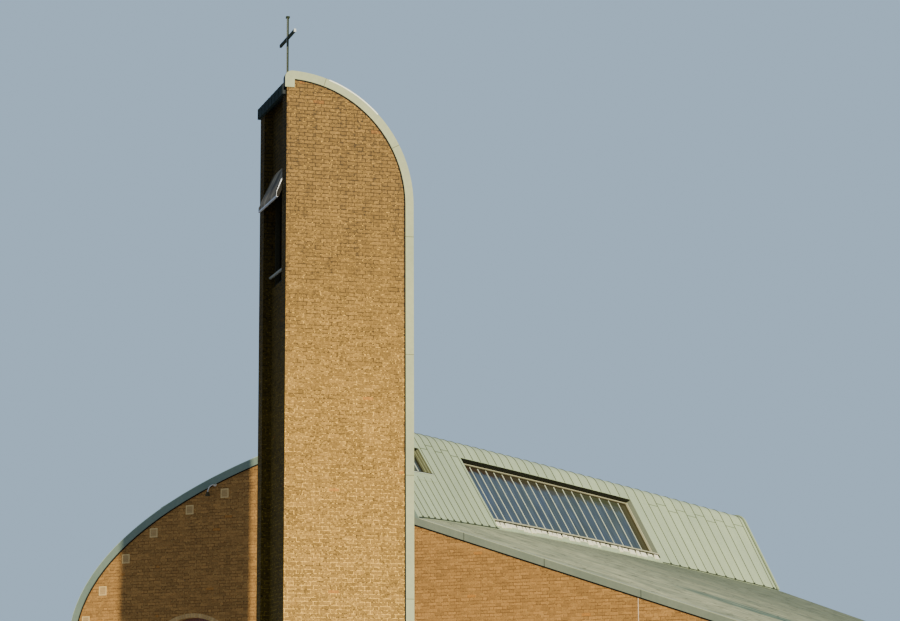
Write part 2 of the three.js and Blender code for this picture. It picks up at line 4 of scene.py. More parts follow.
import bmesh
import bpy
from mathutils import Matrix, Vector
from mathutils.bvhtree import BVHTree


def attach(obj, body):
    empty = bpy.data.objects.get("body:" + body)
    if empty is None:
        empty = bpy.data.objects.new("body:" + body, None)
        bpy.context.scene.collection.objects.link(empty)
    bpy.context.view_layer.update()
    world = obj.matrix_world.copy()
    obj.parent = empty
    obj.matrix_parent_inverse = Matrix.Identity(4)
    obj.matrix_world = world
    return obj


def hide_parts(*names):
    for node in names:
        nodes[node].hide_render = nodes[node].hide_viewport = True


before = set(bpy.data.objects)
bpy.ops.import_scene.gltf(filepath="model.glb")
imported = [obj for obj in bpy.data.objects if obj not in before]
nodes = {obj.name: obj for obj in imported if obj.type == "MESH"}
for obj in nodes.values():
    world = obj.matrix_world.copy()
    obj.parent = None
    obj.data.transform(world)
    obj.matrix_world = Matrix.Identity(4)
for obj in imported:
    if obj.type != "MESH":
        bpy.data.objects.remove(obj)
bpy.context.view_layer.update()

random.seed(7)


# Camera, floor and light. The camera stands on the ground in front of the gable, off to its right,
# and looks up along a long lens. A low sun shines square on to the tower's broad face.
CAMERA_PLACE = (27.511, -66.008, 1.6)
CAMERA_PITCH = 10.47
CAMERA_TURN = 27.6
CAMERA_ROLL = -0.25
CAMERA_LENS = 106.0
CAMERA_SENSOR = 36.0
CAMERA_REACH = 1000.0
SUN_TURN = 46.0
SUN_HEIGHT = 14.0
SUN_STRENGTH = 6.3
SUN_SPREAD = 0.6
SUN_COLOUR = (1.0, 0.93, 0.8)
SKY_LIGHT = (0.24, 0.35, 0.62)
BACKDROP = (0.388, 0.535, 0.70)
FLOOR_HALF = 300.0
FLOOR_DROP = 0.005
FLOOR_COLOUR = (0.55, 0.54, 0.52)

camera_data = bpy.data.cameras.new("camera")
camera_data.lens = CAMERA_LENS
camera_data.sensor_width = CAMERA_SENSOR
camera_data.clip_end = CAMERA_REACH
camera = bpy.data.objects.new("camera", camera_data)
camera.matrix_world = (
    Matrix.Translation(CAMERA_PLACE)
    @ Matrix.Rotation(math.radians(CAMERA_TURN), 4, "Z")
    @ Matrix.Rotation(math.radians(90.0 + CAMERA_PITCH), 4, "X")
    @ Matrix.Rotation(math.radians(CAMERA_ROLL), 4, "Z")
)
bpy.context.scene.collection.objects.link(camera)
bpy.context.scene.camera = camera

sun_data = bpy.data.lights.new("sun", "SUN")
sun_data.energy = SUN_STRENGTH
sun_data.color = SUN_COLOUR
sun_data.angle = math.radians(SUN_SPREAD)
sun = bpy.data.objects.new("sun", sun_data)
sun.rotation_euler = (math.radians(90.0 - SUN_HEIGHT), 0.0, math.radians(SUN_TURN))
bpy.context.scene.collection.objects.link(sun)

sky = bpy.data.worlds.new("sky")
sky.use_nodes = True
sky_tree = sky.node_tree
sky_light = sky_tree.nodes["Background"]
sky_light.inputs["Color"].default_value = (*SKY_LIGHT, 1.0)
backdrop = sky_tree.nodes.new("ShaderNodeBackground")
backdrop.inputs["Color"].default_value = (*BACKDROP, 1.0)
sky_mix = sky_tree.nodes.new("ShaderNodeMixShader")
seen_directly = sky_tree.nodes.new("ShaderNodeLightPath").outputs["Is Camera Ray"]
sky_tree.links.new(seen_directly, sky_mix.inputs[0])
sky_tree.links.new(sky_light.outputs[0], sky_mix.inputs[1])
sky_tree.links.new(backdrop.outputs[0], sky_mix.inputs[2])
sky_tree.links.new(sky_mix.outputs[0], sky_tree.nodes["World Output"].inputs["Surface"])
bpy.context.scene.world = sky

floor_bm = bmesh.new()
bmesh.ops.create_grid(floor_bm, x_segments=1, y_segments=1, size=FLOOR_HALF)
floor_mesh = bpy.data.meshes.new("studio_floor")
floor_bm.to_mesh(floor_mesh)
floor_bm.free()
floor_finish = bpy.data.materials.new("pale_floor")
floor_finish.use_nodes = True
floor_shader = floor_finish.node_tree.nodes["Principled BSDF"]
floor_shader.inputs["Base Color"].default_value = (*FLOOR_COLOUR, 1.0)
floor_shader.inputs["Roughness"].default_value = 0.9
floor_mesh.materials.append(floor_finish)
studio_floor = bpy.data.objects.new("studio_floor", floor_mesh)
studio_floor.location.z = -FLOOR_DROP
bpy.context.scene.collection.objects.link(studio_floor)


# Brickwork of the nave and the tower. Buff facing bricks are laid in Flemish bond, a stretcher and a
# header in turn, in courses of 75 mm with flush mortar. The weather has stained them near the top.
COURSE = 0.075
STRETCHER = 0.225
BOND = 0.3375
JOINT = 0.014
ARC_CENTRE = Vector((36.57, -3.36, 0.0))
ARC_RADIUS = 39.1
ARC_END = 12.37
LEFT_WALL_RADIUS = ARC_RADIUS + 9.491
END_TURN = math.degrees(-ARC_END / ARC_RADIUS)
BACK_TURN = -32.7
TOWER_TURN = 45.0
TOWER_PLACE = (1.389, -22.901, 0.0)
RECESS_REACH = 0.43
RECESS_MIDDLE = 1.11
RECESS_HALF = 0.772
RECESS_SHADE = (0.26, 0.29, 0.15, 1.0)


def colour(red, green, blue):
    """A colour given as it is seen, from 0 to 255, turned to light values."""
    seen = [value / 255.0 for value in (red, green, blue)]
    light = [v / 12.92 if v <= 0.04045 else ((v + 0.055) / 1.055) ** 2.4 for v in seen]
    return (*light, 1.0)


def new_finish(name, roughness, metallic=0.0, gloss=0.5):
    """A material with its shader's fixed values set, its shader and its nodes."""
    finish = bpy.data.materials.new(name)
    finish.use_nodes = True
    shader = finish.node_tree.nodes["Principled BSDF"]
    shader.inputs["Roughness"].default_value = roughness
    shader.inputs["Metallic"].default_value = metallic
    shader.inputs["Specular IOR Level"].default_value = gloss
    return finish, shader, finish.node_tree


def paint(tree, shader, surface):
    """The colour of a finish."""
    tree.links.new(surface, shader.inputs["Base Color"])


def feed(tree, socket, value):
    """A socket takes a fixed value, or what another node gives."""
    if isinstance(value, bpy.types.NodeSocket):
        tree.links.new(value, socket)
    else:
        socket.default_value = value


def calc(tree, operation, *values):
    """The result of one sum on numbers."""
    node = tree.nodes.new("ShaderNodeMath")
    node.operation = operation
    for socket, value in zip(node.inputs, values):
        feed(tree, socket, value)
    return node.outputs[0]


def plus(tree, first, second):
    return calc(tree, "ADD", first, second)


def minus(tree, first, second):
    return calc(tree, "SUBTRACT", first, second)


def times(tree, first, second):
    return calc(tree, "MULTIPLY", first, second)


def ranged(tree, value, low, high, to_low=0.0, to_high=1.0):
    """A number carried from one range to another, and held at the ends."""
    node = tree.nodes.new("ShaderNodeMapRange")
    for key, entry in zip(("Value", "From Min", "From Max", "To Min", "To Max"),
                          (value, low, high, to_low, to_high)):
        feed(tree, node.inputs[key], entry)
    return node.outputs["Result"]


def blended(tree, factor, first, second, way="MIX"):
    """Two colours mixed."""
    node = tree.nodes.new("ShaderNodeMix")
    node.data_type = "RGBA"
    node.blend_type = way
    feed(tree, node.inputs["Factor"], factor)
    feed(tree, node.inputs["A"], first)
    feed(tree, node.inputs["B"], second)
    return node.outputs["Result"]


def scaled(tree, surface, amount):
    """A colour made darker or lighter by a number."""
    tint = tree.nodes.new("ShaderNodeCombineColor")
    for socket in tint.inputs[:3]:
        feed(tree, socket, amount)
    return blended(tree, 1.0, surface, tint.outputs[0], "MULTIPLY")


def place_of(tree):
    """X, Y and Z of a point on a piece."""
    coordinates = tree.nodes.new("ShaderNodeTexCoord").outputs["Object"]
    parts = tree.nodes.new("ShaderNodeSeparateXYZ")
    tree.links.new(coordinates, parts.inputs[0])
    return parts.outputs


def mottle(tree, stretch, scale, detail=3.0, roughness=0.55):
    """Cloudy noise, from 0 to 1, drawn out by a different amount along each axis."""
    coordinates = tree.nodes.new("ShaderNodeTexCoord").outputs["Object"]
    mapping = tree.nodes.new("ShaderNodeMapping")
    mapping.inputs["Scale"].default_value = stretch
    tree.links.new(coordinates, mapping.inputs["Vector"])
    noise = tree.nodes.new("ShaderNodeTexNoise")
    noise.inputs["Scale"].default_value = scale
    noise.inputs["Detail"].default_value = detail
    noise.inputs["Roughness"].default_value = roughness
    tree.links.new(mapping.outputs[0], noise.inputs["Vector"])
    return noise.outputs["Fac"]


def relief(tree, shader, height, depth):
    """Bumps of a depth in metres."""
    bump = tree.nodes.new("ShaderNodeBump")
    bump.inputs["Distance"].default_value = depth
    tree.links.new(height, bump.inputs["Height"])
    tree.links.new(bump.outputs[0], shader.inputs["Normal"])


def straight_run(tree, turn):
    """Distance along a wall that is turned in plan. Its ends are measured across the wall."""
    x, y, _ = place_of(tree)
    facing = tree.nodes.new("ShaderNodeSeparateXYZ")
    tree.links.new(tree.nodes.new("ShaderNodeNewGeometry").outputs["True Normal"], facing.inputs[0])
    east = math.cos(math.radians(turn))
    north = math.sin(math.radians(turn))
    run = plus(tree, times(tree, x, east), times(tree, y, north))
    across = minus(tree, times(tree, y, east), times(tree, x, north))
    end = calc(tree, "ABSOLUTE", plus(tree, times(tree, facing.outputs[0], east),
                                      times(tree, facing.outputs[1], north)))
    at_end = calc(tree, "GREATER_THAN", end, 0.7)
    return plus(tree, run, times(tree, at_end, minus(tree, across, run)))


def bent_run(tree):
    """Distance along the left wall, which follows the nave's bend."""
    x, y, _ = place_of(tree)
    turn = calc(tree, "ARCTAN2", minus(tree, y, ARC_CENTRE.y), minus(tree, ARC_CENTRE.x, x))
    return times(tree, turn, LEFT_WALL_RADIUS)


def brick_pattern(tree, run):
    """Which part of a point is brick face, from 0 to 1, and a chance number for each brick."""
    height = place_of(tree)[2]
    course = calc(tree, "FLOOR", calc(tree, "DIVIDE", height, COURSE))
    up = minus(tree, height, times(tree, course, COURSE))
    shifted = plus(tree, run, times(tree, calc(tree, "FLOORED_MODULO", course, 2.0), BOND / 2.0))
    pair = calc(tree, "FLOOR", calc(tree, "DIVIDE", shifted, BOND))
    in_pair = minus(tree, shifted, times(tree, pair, BOND))
    header = calc(tree, "GREATER_THAN", in_pair, STRETCHER)
    in_brick = minus(tree, in_pair, times(tree, header, STRETCHER))
    length = minus(tree, STRETCHER, times(tree, header, BOND - STRETCHER))
    side = calc(tree, "MINIMUM", in_brick, minus(tree, length, in_brick))
    bed = calc(tree, "MINIMUM", up, minus(tree, COURSE, up))
    face = ranged(tree, calc(tree, "MINIMUM", side, bed), JOINT * 0.35, JOINT * 0.65)
    spot = tree.nodes.new("ShaderNodeCombineXYZ")
    feed(tree, spot.inputs[0], plus(tree, times(tree, pair, 2.0), header))
    feed(tree, spot.inputs[1], course)
    chance = tree.nodes.new("ShaderNodeTexWhiteNoise")
    chance.noise_dimensions = "2D"
    tree.links.new(spot.outputs[0], chance.inputs["Vector"])
    return face, chance.outputs["Value"]


def brickwork(name, run_of, brick, dark_joint_and_shade, cream_joint, cream, rough, stains, recess=None):
    """Brickwork of one brick colour. Its joints are dark in short lengths, as dark mortar and painted
    shade under the bricks' edges, and cream in spots, and cream gives the noise levels above which
    they are, at the ground and at the top. Rough is the amount of fine grain. Stains give two heights
    and a strength."""
    finish, shader, tree = new_finish(name, 0.92, 0.0, 0.12)
    face, chance = brick_pattern(tree, run_of(tree))
    height = place_of(tree)[2]
    bricks = scaled(tree, brick, ranged(tree, chance, 0.0, 1.0, 0.80, 1.20))
    odd = calc(tree, "GREATER_THAN", calc(tree, "FRACT", times(tree, chance, 37.0)), 0.994)
    bricks = blended(tree, odd, bricks, colour(172, 116, 50))

    lined = ranged(tree, mottle(tree, (2.0, 2.0, 7.0), 1.0, 3.0, 0.6), 0.42, 0.52)
    reach = times(tree, ranged(tree, height, stains[0], stains[1]), stains[2])
    # Near the top the joints darken too, as stained mortar and painted shade under the bricks' edges.
    dark = scaled(tree, dark_joint_and_shade, minus(tree, 1.0, times(tree, reach, 0.6)))
    joint = blended(tree, calc(tree, "MAXIMUM", lined, reach), scaled(tree, brick, 1.08), dark)
    share = ranged(tree, height, 0.0, stains[1], cream[0], cream[1])
    creamy = mottle(tree, (1.0, 1.0, 1.2), 16.0, 3.0, 0.75)
    joint = blended(tree, ranged(tree, creamy, share, plus(tree, share, 0.05)), joint, cream_joint)
    surface = blended(tree, face, joint, bricks)

    cloud = ranged(tree, mottle(tree, (1.0, 1.0, 1.6), 0.4), 0.3, 0.7, 0.97, 1.03)
    grain = mottle(tree, (1.0, 1.0, 1.5), 21.0, 3.0, 0.85)
    grit = ranged(tree, grain, 0.3, 0.7, 1.0 - rough, 1.0 + rough)
    surface = scaled(tree, surface, times(tree, cloud, grit))
    fewer = ranged(tree, mottle(tree, (1.0, 1.0, 1.4), 3.0, 2.0), 0.3, 0.7, 0.1, 0.02)
    level = plus(tree, calc(tree, "MAXIMUM", share, 0.53), fewer)
    specks = ranged(tree, mottle(tree, (1.0, 1.0, 1.2), 28.0, 2.0, 0.7), level, plus(tree, level, 0.05))
    surface = blended(tree, times(tree, specks, 0.36), surface, cream_joint)

    drips = ranged(tree, mottle(tree, (5.0, 5.0, 0.6), 1.0, 4.0), 0.46, 0.66, 0.35, 1.0)
    grime = ranged(tree, mottle(tree, (1.0, 1.0, 1.3), 13.0, 3.0, 0.85), 0.48, 0.6)
    dirty = times(tree, times(tree, drips, grime), reach)
    surface = blended(tree, dirty, surface, colour(58, 48, 32))
    surface = scaled(tree, surface, minus(tree, 1.0, times(tree, reach, 0.22)))
    surface = blended(tree, times(tree, reach, 0.14), surface, colour(118, 104, 80))
    if recess is not None:
        shaded = blended(tree, 1.0, surface, RECESS_SHADE, "MULTIPLY")
        surface = blended(tree, recess(tree), surface, shaded)
    paint(tree, shader, surface)
    relief(tree, shader, plus(tree, face, times(tree, grit, 0.3)), 0.004)
    return finish


def nave_brickwork(name, run_of):
    return brickwork(name, run_of, colour(161, 117, 59), colour(122, 86, 42), colour(200, 154, 80),
                     (0.62, 0.55), 0.32, (5.0, 11.0, 0.3))


def tower_brickwork(name, run_of):
    return brickwork(name, run_of, colour(150, 114, 54), colour(102, 78, 40), colour(240, 188, 86),
                     (0.39, 0.58), 0.42, (9.0, 13.5, 0.9), tower_recess)


def tower_place(tree):
    """Distances of a point from the tower's near left corner, along its broad face and into it."""
    x, y, _ = place_of(tree)
    east = times(tree, minus(tree, x, TOWER_PLACE[0]), math.sqrt(0.5))
    north = times(tree, minus(tree, y, TOWER_PLACE[1]), math.sqrt(0.5))
    return plus(tree, east, north), minus(tree, north, east)


def tower_recess(tree):
    """The tower's narrow left end and the recess in it, as 0 or 1."""
    along, deep = tower_place(tree)
    at_end = calc(tree, "LESS_THAN", along, 0.002)
    off_middle = calc(tree, "ABSOLUTE", minus(tree, deep, RECESS_MIDDLE))
    inside = calc(tree, "LESS_THAN", off_middle, RECESS_HALF)
    near = calc(tree, "LESS_THAN", along, RECESS_REACH)
    return calc(tree, "MAXIMUM", at_end, times(tree, inside, near))


def dress(finish, *names):
    """A finish goes on model pieces whose shape stays."""
    for name in names:
        for holder in nodes[name].material_slots:
            holder.material = finish


dress(nave_brickwork("gable_brick", lambda tree: straight_run(tree, 0.0)), "front_gable_wall")
dress(nave_brickwork("right_wall_brick", lambda tree: straight_run(tree, 90.0)), "right_side_wall")
dress(nave_brickwork("back_gable_brick", lambda tree: straight_run(tree, END_TURN)), "back_gable_wall")
dress(nave_brickwork("back_right_brick", lambda tree: straight_run(tree, BACK_TURN)), "back_right_wall")
dress(nave_brickwork("left_wall_brick", bent_run), "left_side_wall")
dress(tower_brickwork("tower_brick", lambda tree: straight_run(tree, TOWER_TURN)), "tower_front_slab",
      "tower_back_slab", "tower_infill_below_bell", "tower_infill_above_bell", "tower_right_infill")


# Floor slab of the nave. It is of concrete, cast between the walls and floated smooth, and is seen
# through the doorway only.
def floated_concrete():
    finish, shader, tree = new_finish("floated_concrete", 0.85)
    cloud = mottle(tree, (1.0, 1.0, 1.0), 1.4, 5.0)
    paint(tree, shader, blended(tree, cloud, colour(140, 138, 130), colour(166, 163, 154)))
    relief(tree, shader, mottle(tree, (1.0, 1.0, 1.0), 30.0), 0.001)
    return finish


dress(floated_concrete(), "floor_slab")


# Air bricks and the movement joint in the front gable. Six square cast grilles in cream frames follow
# the curve of the roof, and a pale strip of sealant runs up the wall below the lower roof.
FRONT = -11.95
AIR_BRICK_HALF = 0.1125
AIR_BRICK_PLACES = [(-6.92, 8.93), (-7.92, 8.58), (-8.96, 8.07), (-9.77, 7.47), (-10.44, 6.71),
                    (-10.93, 5.99)]
AIR_BRICK_RIM = 0.028
RIM_PROUD = 0.012
RIM_BEDDED = 0.002
BEDDED = 0.001
SLATS = 5
SLAT_HALF = 0.013
SLAT_PROUD = 0.008
MOVEMENT_JOINT_X = 3.92
MOVEMENT_JOINT_TOP = 6.0
SEALANT_HALF = 0.009
SEALANT_PROUD = 0.006


def block(bm, low, high):
    """A box between two corners, added to a mesh, and its vertices."""
    size = [b - a for a, b in zip(low, high)]
    centre = [(a + b) / 2.0 for a, b in zip(low, high)]
    matrix = Matrix.Translation(centre) @ Matrix.Diagonal((*size, 1.0))
    return bmesh.ops.create_cube(bm, size=1.0, matrix=matrix)["verts"]


def fix_piece(name, bm, finish, smooth_below=None):
    """A finished mesh becomes a piece of the building."""
    bmesh.ops.recalc_face_normals(bm, faces=bm.faces)
    mesh = bpy.data.meshes.new(name)
    bm.to_mesh(mesh)
    bm.free()
    mesh.materials.append(finish)
    if smooth_below is not None:
        mesh.shade_smooth()
        mesh.set_sharp_from_angle(angle=math.radians(smooth_below))
    piece = bpy.data.objects.new(name, mesh)
    bpy.context.scene.collection.objects.link(piece)
    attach(piece, "root")
    return piece


def plain_finish(name, tone, roughness, spread=0.12):
    """One colour, a little darker and lighter in clouds."""
    finish, shader, tree = new_finish(name, roughness, 0.0, 0.2)
    darker = tuple(v * (1.0 - spread) for v in tone[:3]) + (1.0,)
    lighter = tuple(min(1.0, v * (1.0 + spread)) for v in tone[:3]) + (1.0,)
    paint(tree, shader, blended(tree, mottle(tree, (1.0, 1.0, 1.0), 9.0), darker, lighter))
    relief(tree, shader, mottle(tree, (1.0, 1.0, 1.0), 70.0), 0.0006)
    return finish


cast_cream = plain_finish("cast_cream", colour(210, 176, 108), 0.85)
grille_grey = plain_finish("grille_grey", colour(184, 150, 92), 0.9)
rims = bmesh.new()
grilles = bmesh.new()
half = AIR_BRICK_HALF
inner = half - AIR_BRICK_RIM
for x, z in AIR_BRICK_PLACES:
    for left, low, right, high in ((-half, -half, half, -inner), (-half, inner, half, half),
                                   (-half, -inner, -inner, inner), (inner, -inner, half, inner)):
        block(rims, (x + left, FRONT - RIM_PROUD, z + low), (x + right, FRONT + RIM_BEDDED, z + high))
    for i in range(SLATS):
        middle = z - inner + (i + 0.5) * 2.0 * inner / SLATS
        block(grilles, (x - inner, FRONT - SLAT_PROUD, middle - SLAT_HALF),
              (x + inner, FRONT + BEDDED, middle + SLAT_HALF))
fix_piece("air_brick_rims", rims, cast_cream)
fix_piece("air_brick_slats", grilles, grille_grey)
sealant = bmesh.new()
block(sealant, (MOVEMENT_JOINT_X - SEALANT_HALF, FRONT - SEALANT_PROUD, 0.0),
      (MOVEMENT_JOINT_X + SEALANT_HALF, FRONT + BEDDED, MOVEMENT_JOINT_TOP))
fix_piece("movement_joint_sealant", sealant, plain_finish("sealant", colour(214, 186, 142), 0.8))


# Bricks in the faces of the walls. Each stands a little out from its mortar, in the bond that the
# wall's finish is painted in. Bricks cut by a roof, an edge or the arch are left to that finish.
BRICK_PROUD = 0.003
BRICK_SUNK = 0.001
WALL_REACH = 0.03
UP = Vector((0.0, 0.0, 1.0))


def flat_wall(wall, turn, side):
    """A flat wall's run at a point, and the point and the way out at a run and a height."""
    along = Vector((math.cos(math.radians(turn)), math.sin(math.radians(turn)), 0.0))
    outward = UP.cross(along) * side
    face = max(outward.dot(corner.co) for corner in nodes[wall].data.vertices)
    return along.dot, lambda run, z: (along * run + outward * face + UP * z, outward)


def bent_wall_run(point):
    return LEFT_WALL_RADIUS * math.atan2(point.y - ARC_CENTRE.y, ARC_CENTRE.x - point.x)


def bent_wall_place(run, z):
    turn = run / LEFT_WALL_RADIUS
    outward = Vector((-math.cos(turn), math.sin(turn), 0.0))
    return ARC_CENTRE + outward * LEFT_WALL_RADIUS + UP * z, outward


def bond_of(start, stop, top):
    """Left, right, low and high edges of each brick in the bond, between two ends of a wall."""
    for course in range(int(top / COURSE)):
        low = course * COURSE + JOINT / 2.0
        shift = course % 2 * BOND / 2.0
        for pair in range(math.floor((start + shift) / BOND), math.ceil((stop + shift) / BOND)):
            for offset, length in ((0.0, STRETCHER), (STRETCHER, BOND - STRETCHER)):
                left = pair * BOND - shift + offset + JOINT / 2.0
                yield left, left + length - JOINT, low, low + COURSE - JOINT


def lay_bricks(name, wall, run_of, place):
    """A thin plate over each whole brick in a wall's face, all in one mesh."""
    corners = [corner.co for corner in nodes[wall].data.vertices]
    sides = [tuple(side.vertices) for side in nodes[wall].data.polygons]
    surface = BVHTree.FromPolygons(corners, sides)
    runs = [run_of(corner) for corner in corners]
    plates = bmesh.new()
    for left, right, low, high in bond_of(min(runs), max(runs), max(corner.z for corner in corners)):
        ring = []
        for run, z in ((left, low), (right, low), (right, high), (left, high)):
            spot, outward = place(run, z)
            hit = surface.ray_cast(spot + outward * WALL_REACH, -outward, 2.0 * WALL_REACH)[0]
            if hit is None:
                break
            ring.append(hit - outward * BRICK_SUNK)
        if len(ring) == 4:
            plates.faces.new([plates.verts.new(corner) for corner in ring])
    grown = bmesh.ops.extrude_face_region(plates, geom=plates.faces[:])["geom"]
    for corner in grown:
        if isinstance(corner, bmesh.types.BMVert):
            outward = place(run_of(corner.co), corner.co.z)[1]
            corner.co += outward * (BRICK_PROUD + BRICK_SUNK)
    fix_piece(name, plates, nodes[wall].material_slots[0].material)


for name, wall, turn, side in (
    ("front_gable_bricks", "front_gable_wall", 0.0, -1.0),
    ("right_wall_bricks", "right_side_wall", 90.0, -1.0),
    ("back_gable_bricks", "back_gable_wall", END_TURN, 1.0),
    ("back_right_bricks", "back_right_wall", BACK_TURN, 1.0),
):
    lay_bricks(name, wall, *flat_wall(wall, turn, side))
lay_bricks("left_wall_bricks", "left_side_wall", bent_wall_run, bent_wall_place)
for name, wall, side in (("tower_front_bricks", "tower_front_slab", -1.0),
                         ("tower_back_bricks", "tower_back_slab", 1.0)):
    lay_bricks(name, wall, *flat_wall(wall, TOWER_TURN, side))


# Entrance arch. A ring of bricks on edge, half a brick high, goes round the head of the doorway, with
# mortar a little behind their faces.
ARCH_X = -7.82
ARCH_SPRING = 4.56
ARCH_INNER = 1.4
ARCH_RING = 0.11
ARCH_BRICKS = 61
ARRIS = 0.003
MORTAR_BACK = 0.006
WALL = 0.33


def arch_finish():
    finish, shader, tree = new_finish("arch_brick", 0.88)
    tone = tree.nodes.new("ShaderNodeAttribute")
    tone.attribute_name = "tone"
    base = blended(tree, tone.outputs["Fac"], colour(186, 146, 76), colour(214, 176, 100))
    cloud = mottle(tree, (1.0, 1.0, 1.0), 40.0)
    dirty = ranged(tree, cloud, 0.3, 0.7, 0.0, 0.35)
    paint(tree, shader, blended(tree, dirty, base, colour(120, 84, 48)))
    relief(tree, shader, cloud, 0.001)
    return finish


def soften(bm, corners, width):
    """Takes the sharp edges off a box that has just been made."""
    edges = list({edge for corner in corners for edge in corner.link_edges})
    bmesh.ops.bevel(bm, geom=edges, affect="EDGES", offset=width, segments=1, profile=0.5, material=-1)


voussoirs = bmesh.new()
tone_layer = voussoirs.faces.layers.float.new("tone")
pitch_angle = math.pi / ARCH_BRICKS
brick_wide = pitch_angle * (ARCH_INNER + ARCH_RING / 2.0) - JOINT
for i in range(ARCH_BRICKS):
    angle = (i + 0.5) * pitch_angle
    made = block(voussoirs, (-brick_wide / 2.0, FRONT, ARCH_INNER + 0.001),
                 (brick_wide / 2.0, FRONT + WALL, ARCH_INNER + ARCH_RING - 0.002))
    soften(voussoirs, made, ARRIS)
    fresh = [f for f in voussoirs.faces if f[tone_layer] == 0.0]
    shade = random.uniform(0.05, 1.0)
    for face in fresh:
        face[tone_layer] = shade
    corners = list({v for f in fresh for v in f.verts})
    bmesh.ops.rotate(voussoirs, cent=(0.0, 0.0, 0.0), verts=corners,
                     matrix=Matrix.Rotation(math.pi / 2.0 - angle, 3, "Y"))
    bmesh.ops.translate(voussoirs, verts=corners, vec=(ARCH_X, 0.0, ARCH_SPRING))
arch_ring = fix_piece("entrance_voussoirs", voussoirs, arch_finish())
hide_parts("entrance_arch_ring")

ring_mortar = bmesh.new()
mortar_inner = ARCH_INNER + 0.004
mortar_outer = ARCH_INNER + ARCH_RING - 0.003
start = [ring_mortar.verts.new((ARCH_X + radius, y, ARCH_SPRING)) for radius, y in (
    (mortar_inner, FRONT + MORTAR_BACK), (mortar_outer, FRONT + MORTAR_BACK),
    (mortar_outer, FRONT + WALL - MORTAR_BACK), (mortar_inner, FRONT + WALL - MORTAR_BACK))]
ring_face = ring_mortar.faces.new(start)
bmesh.ops.spin(ring_mortar, geom=[ring_face, *ring_face.edges, *ring_face.verts],
               cent=(ARCH_X, 0.0, ARCH_SPRING), axis=(0.0, -1.0, 0.0), angle=math.pi, steps=40)
fix_piece("entrance_arch_mortar", ring_mortar, plain_finish("arch_mortar", colour(186, 152, 104), 0.9))


# Entrance screen. A pair of stained timber doors, boarded on the outside, stands under a head with
# upright bars, with a sheet of glass behind.
SCREEN_FACE = FRONT + 0.15
SCREEN_BAR = 0.1
TRANSOM = 2.35
BOARD_WIDTH = 0.13
BOARD_GAP = 0.003
HEAD_BAR_HALF = 0.025
HEAD_BAR_PITCH = 0.45


def stained_timber():
    finish, shader, tree = new_finish("stained_timber", 0.5)
    grain = mottle(tree, (14.0, 14.0, 0.7), 3.0, 5.0)
    lines = ranged(tree, grain, 0.3, 0.7)
    paint(tree, shader, blended(tree, lines, colour(84, 44, 22), colour(128, 72, 38)))
    relief(tree, shader, grain, 0.0008)
    return finish


timber = stained_timber()
dress(timber, "entrance_screen")
dress(plain_finish("door_glass", colour(42, 48, 46), 0.15, 0.1), "entrance_glass")
boards = bmesh.new()
board_count = int((2 * ARCH_INNER - 3 * SCREEN_BAR) / BOARD_WIDTH / 2)
for side in (-1, 1):
    for i in range(board_count):
        x = ARCH_X + side * (SCREEN_BAR / 2.0 + (i + 0.5) * BOARD_WIDTH)
        made = block(boards, (x - BOARD_WIDTH / 2.0 + BOARD_GAP, SCREEN_FACE + 0.03, SCREEN_BAR),
                     (x + BOARD_WIDTH / 2.0 - BOARD_GAP, SCREEN_FACE + 0.06, TRANSOM))
        soften(boards, made, 0.004)
fix_piece("entrance_door_boards", boards, timber)
head_bars = bmesh.new()
for i in range(-2, 3):
    x = i * HEAD_BAR_PITCH
    top = ARCH_SPRING + math.sqrt((ARCH_INNER - 0.08) ** 2 - x * x)
    block(head_bars, (ARCH_X + x - HEAD_BAR_HALF, SCREEN_FACE + 0.02, TRANSOM + SCREEN_BAR),
          (ARCH_X + x + HEAD_BAR_HALF, SCREEN_FACE + 0.07, top))
fix_piece("entrance_head_bars", head_bars, timber)


# Roof sheeting of the curved shell and the steep slope. Long sheets of patinated copper, one bay
# wide, are joined by standing seams that run square to the nave's bend, over the ridge and down.
LOWER_PITCH = 0.336
SHELL_CENTRE = Vector((2.25, 5.645))
SHELL_HALF = Vector((14.271, 5.484))
COVER = 0.17
RIDGE = Vector((-3.901, 10.77))
SLOPE_FOOT = Vector((-2.53, 8.365))
RIDGE_RADIUS = 0.38
RIDGE_STEPS = 8
SLOPE_LENGTH = (SLOPE_FOOT - RIDGE).length
DOWN = (SLOPE_FOOT - RIDGE).normalized()
OUT = Vector((-DOWN.y, DOWN.x))
LONG_NEAR = -2.72
LONG_FAR = 6.70
LONG_SILL = 2.465
SHORT_NEAR = -7.00
SHORT_FAR = -5.47
SHORT_SILL = 1.369
WINDOW_HEAD = 0.60
ARC_START = -9.4
VERGE = 0.048
SHEET = 0.008
SHEET_SUNK = 0.004
SHEET_FOOT = SLOPE_LENGTH - 0.012
SEAM_HIGH = 0.024
SEAM_WIDE = 0.010
SEAM_ZERO = -3.378
SEAM_PITCHES = (0.4957, 0.4777, 0.4582)
SEAM_CUT = 0.02
FIRST_SEAM = -10
LAST_SEAM = 33
MIDDLE_BAYS = 22
VERGE_SEAM = (12.315, 12.33)
WELT_WIDE = 0.02
WELTS = [(-4, 0.565), (-3, 0.43), (-2, 0.565), (-1, 0.461), (0, 0.588), (23, 0.586), (24, 0.479),
         (25, 0.645), (26, 0.522), (27, 0.63), (28, 0.51), (29, 0.634), (30, 0.51), (31, 0.637),
         (32, 0.49)]
SEAM_END_HALF = 0.028
VERGE_ROLL = (12.355, 12.41)
VERGE_ROLL_HIGH = 0.05


def slope_point(s, out):
    """Place in the section, by distance down the slope from the ridge corner and out of its face."""
    point = RIDGE + DOWN * s + OUT * out
    return (point.x, point.y)


